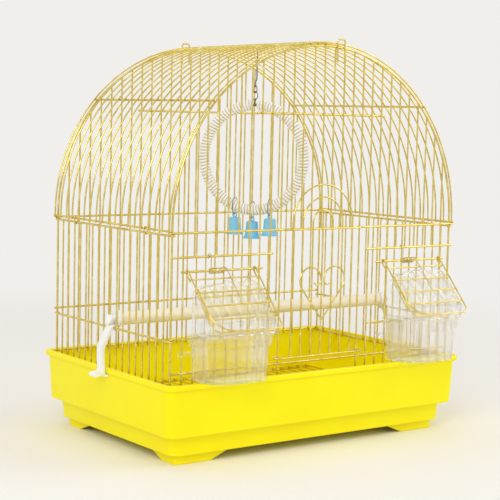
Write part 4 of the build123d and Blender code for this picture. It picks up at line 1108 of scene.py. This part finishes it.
def clipRing():
    # Snap ring open at its foot: a rectangle carried round the wire
    turn = np.radians(np.linspace(*clip["ringTurn"], 41))[:, None]
    radius = np.array([clipIn, clipOut, clipOut, clipIn])
    x = -sideWireX + radius * np.cos(turn)
    z = height["sideLow"] + radius * np.sin(turn)
    y = np.broadcast_to(perchY + np.array([-1, -1, 1, 1]) * clip["wide"] / 2, x.shape)
    return skin(np.stack([x, y, z], -1))


leftClip = [clipBlade(), clipRing()]
for name, parts in (("left", leftClip), ("right", [mirrored(p) for p in leftClip])):
    made = piece(f"Clip{name.title()}", parts, "white_plastic", f"clip_{name}", [f"side_clip_{name}"])
    softEdges(made, clip["edge"])
print("perch and clips made")

view = {"heading": 36.215, "down": 5.391, "roll": 1.331, "lens": 101.52, "film": 36.0, "near": 0.05,
        "far": 50.0, "from": (-0.854351, -1.157281, 0.31911)}
stage = {"backdrop": "#F1EFEB", "glow": 0.75, "paper": ("#F3F1ED", "#F7F5F1"), "fibres": (2.0, 3.0, 0.5),
         "paperTo": 0.5, "backdropFrom": 1.3, "reach": 30.0, "aim": (0, 0, 0.2)}
lamps = {"key": ((-1.7, -1.4, 1.4), 1.2, 21), "fill": ((1.8, -1.2, 1.2), 1.4, 12),
         "top": ((0.0, 0.3, 2.2), 1.6, 6)}     # place, size and power


def aimCamera():
    lens = bpy.data.cameras.new("view")
    lens.lens, lens.sensor_width = view["lens"], view["film"]
    lens.clip_start, lens.clip_end = view["near"], view["far"]
    camera = addObject("view", lens)
    place = Vector(view["from"]) + Vector((0, trayMiddle / 1000, 0))     # measured from the tray's middle
    heading, down, roll = (Matrix.Rotation(radians(angle), 4, axis) for angle, axis in (
        (-view["heading"], "Z"), (90 - view["down"], "X"), (view["roll"], "Z")))
    camera.matrix_world = Matrix.Translation(place) @ (heading @ down @ roll)
    bpy.context.scene.camera = camera


def areaLight(name, place, size, power):
    lamp = bpy.data.lights.new(name, "AREA")
    lamp.size = size
    lamp.energy = power
    obj = addObject(name, lamp)
    obj.location = place
    obj.rotation_euler = (Vector(place) - Vector(stage["aim"])).to_track_quat("Z", "Y").to_euler()


def backdrop():
    # World that glows fully only where the camera, a reflection or clear plastic looks
    world = bpy.data.worlds.new("studio")
    world.use_nodes = True
    bpy.context.scene.world = world
    tree = world.node_tree
    tree.nodes.clear()
    path = addNode(tree, "LightPath").outputs
    seen = addNode(tree, "Math", {0: path["Is Camera Ray"], 1: path["Is Glossy Ray"]}, operation="MAXIMUM")
    seen = addNode(tree, "Math", {0: seen, 1: path["Is Transmission Ray"]}, operation="MAXIMUM")
    strength = addNode(tree, "MapRange", {"Value": seen, "To Min": stage["glow"]})
    glow = addNode(tree, "Background", {"Color": linear(stage["backdrop"]), "Strength": strength})
    addNode(tree, "OutputWorld", {"Surface": glow})


def paleFloor():
    # Paper floor that takes the cage's shadow and turns into the backdrop's colour further out
    made, tree, coords, fibres = newMaterial("pale paper floor", [stage["fibres"]])
    tone = addNode(tree, "ValToRGB", {"Fac": fibres}, [(0.3, stage["paper"][0]), (0.7, stage["paper"][1])])
    paper = addNode(tree, "BsdfDiffuse", {"Color": tone})
    glow = addNode(tree, "Emission", {"Color": linear(stage["backdrop"]), "Strength": 1.0})
    away = addNode(tree, "VectorMath", {0: coords["Object"]}, operation="LENGTH").outputs["Value"]
    far = addNode(tree, "MapRange", {
        "Value": away, "From Min": stage["paperTo"], "From Max": stage["backdropFrom"]},
        interpolation_type="SMOOTHSTEP")
    mesh = bpy.data.meshes.new("floor")
    reach = stage["reach"]
    mesh.from_pydata([(-reach, -reach, 0), (reach, -reach, 0), (reach, reach, 0), (-reach, reach, 0)], [],
                     [(0, 1, 2, 3)])
    mesh.materials.append(finished(made, {0: far, 1: paper, 2: glow}, "MixShader"))
    addObject("floor", mesh)


aimCamera()
backdrop()
paleFloor()
for name, (place, size, power) in lamps.items():
    areaLight(name, place, size, power)
bpy.context.scene.view_settings.view_transform = "Standard"
print("stage set")
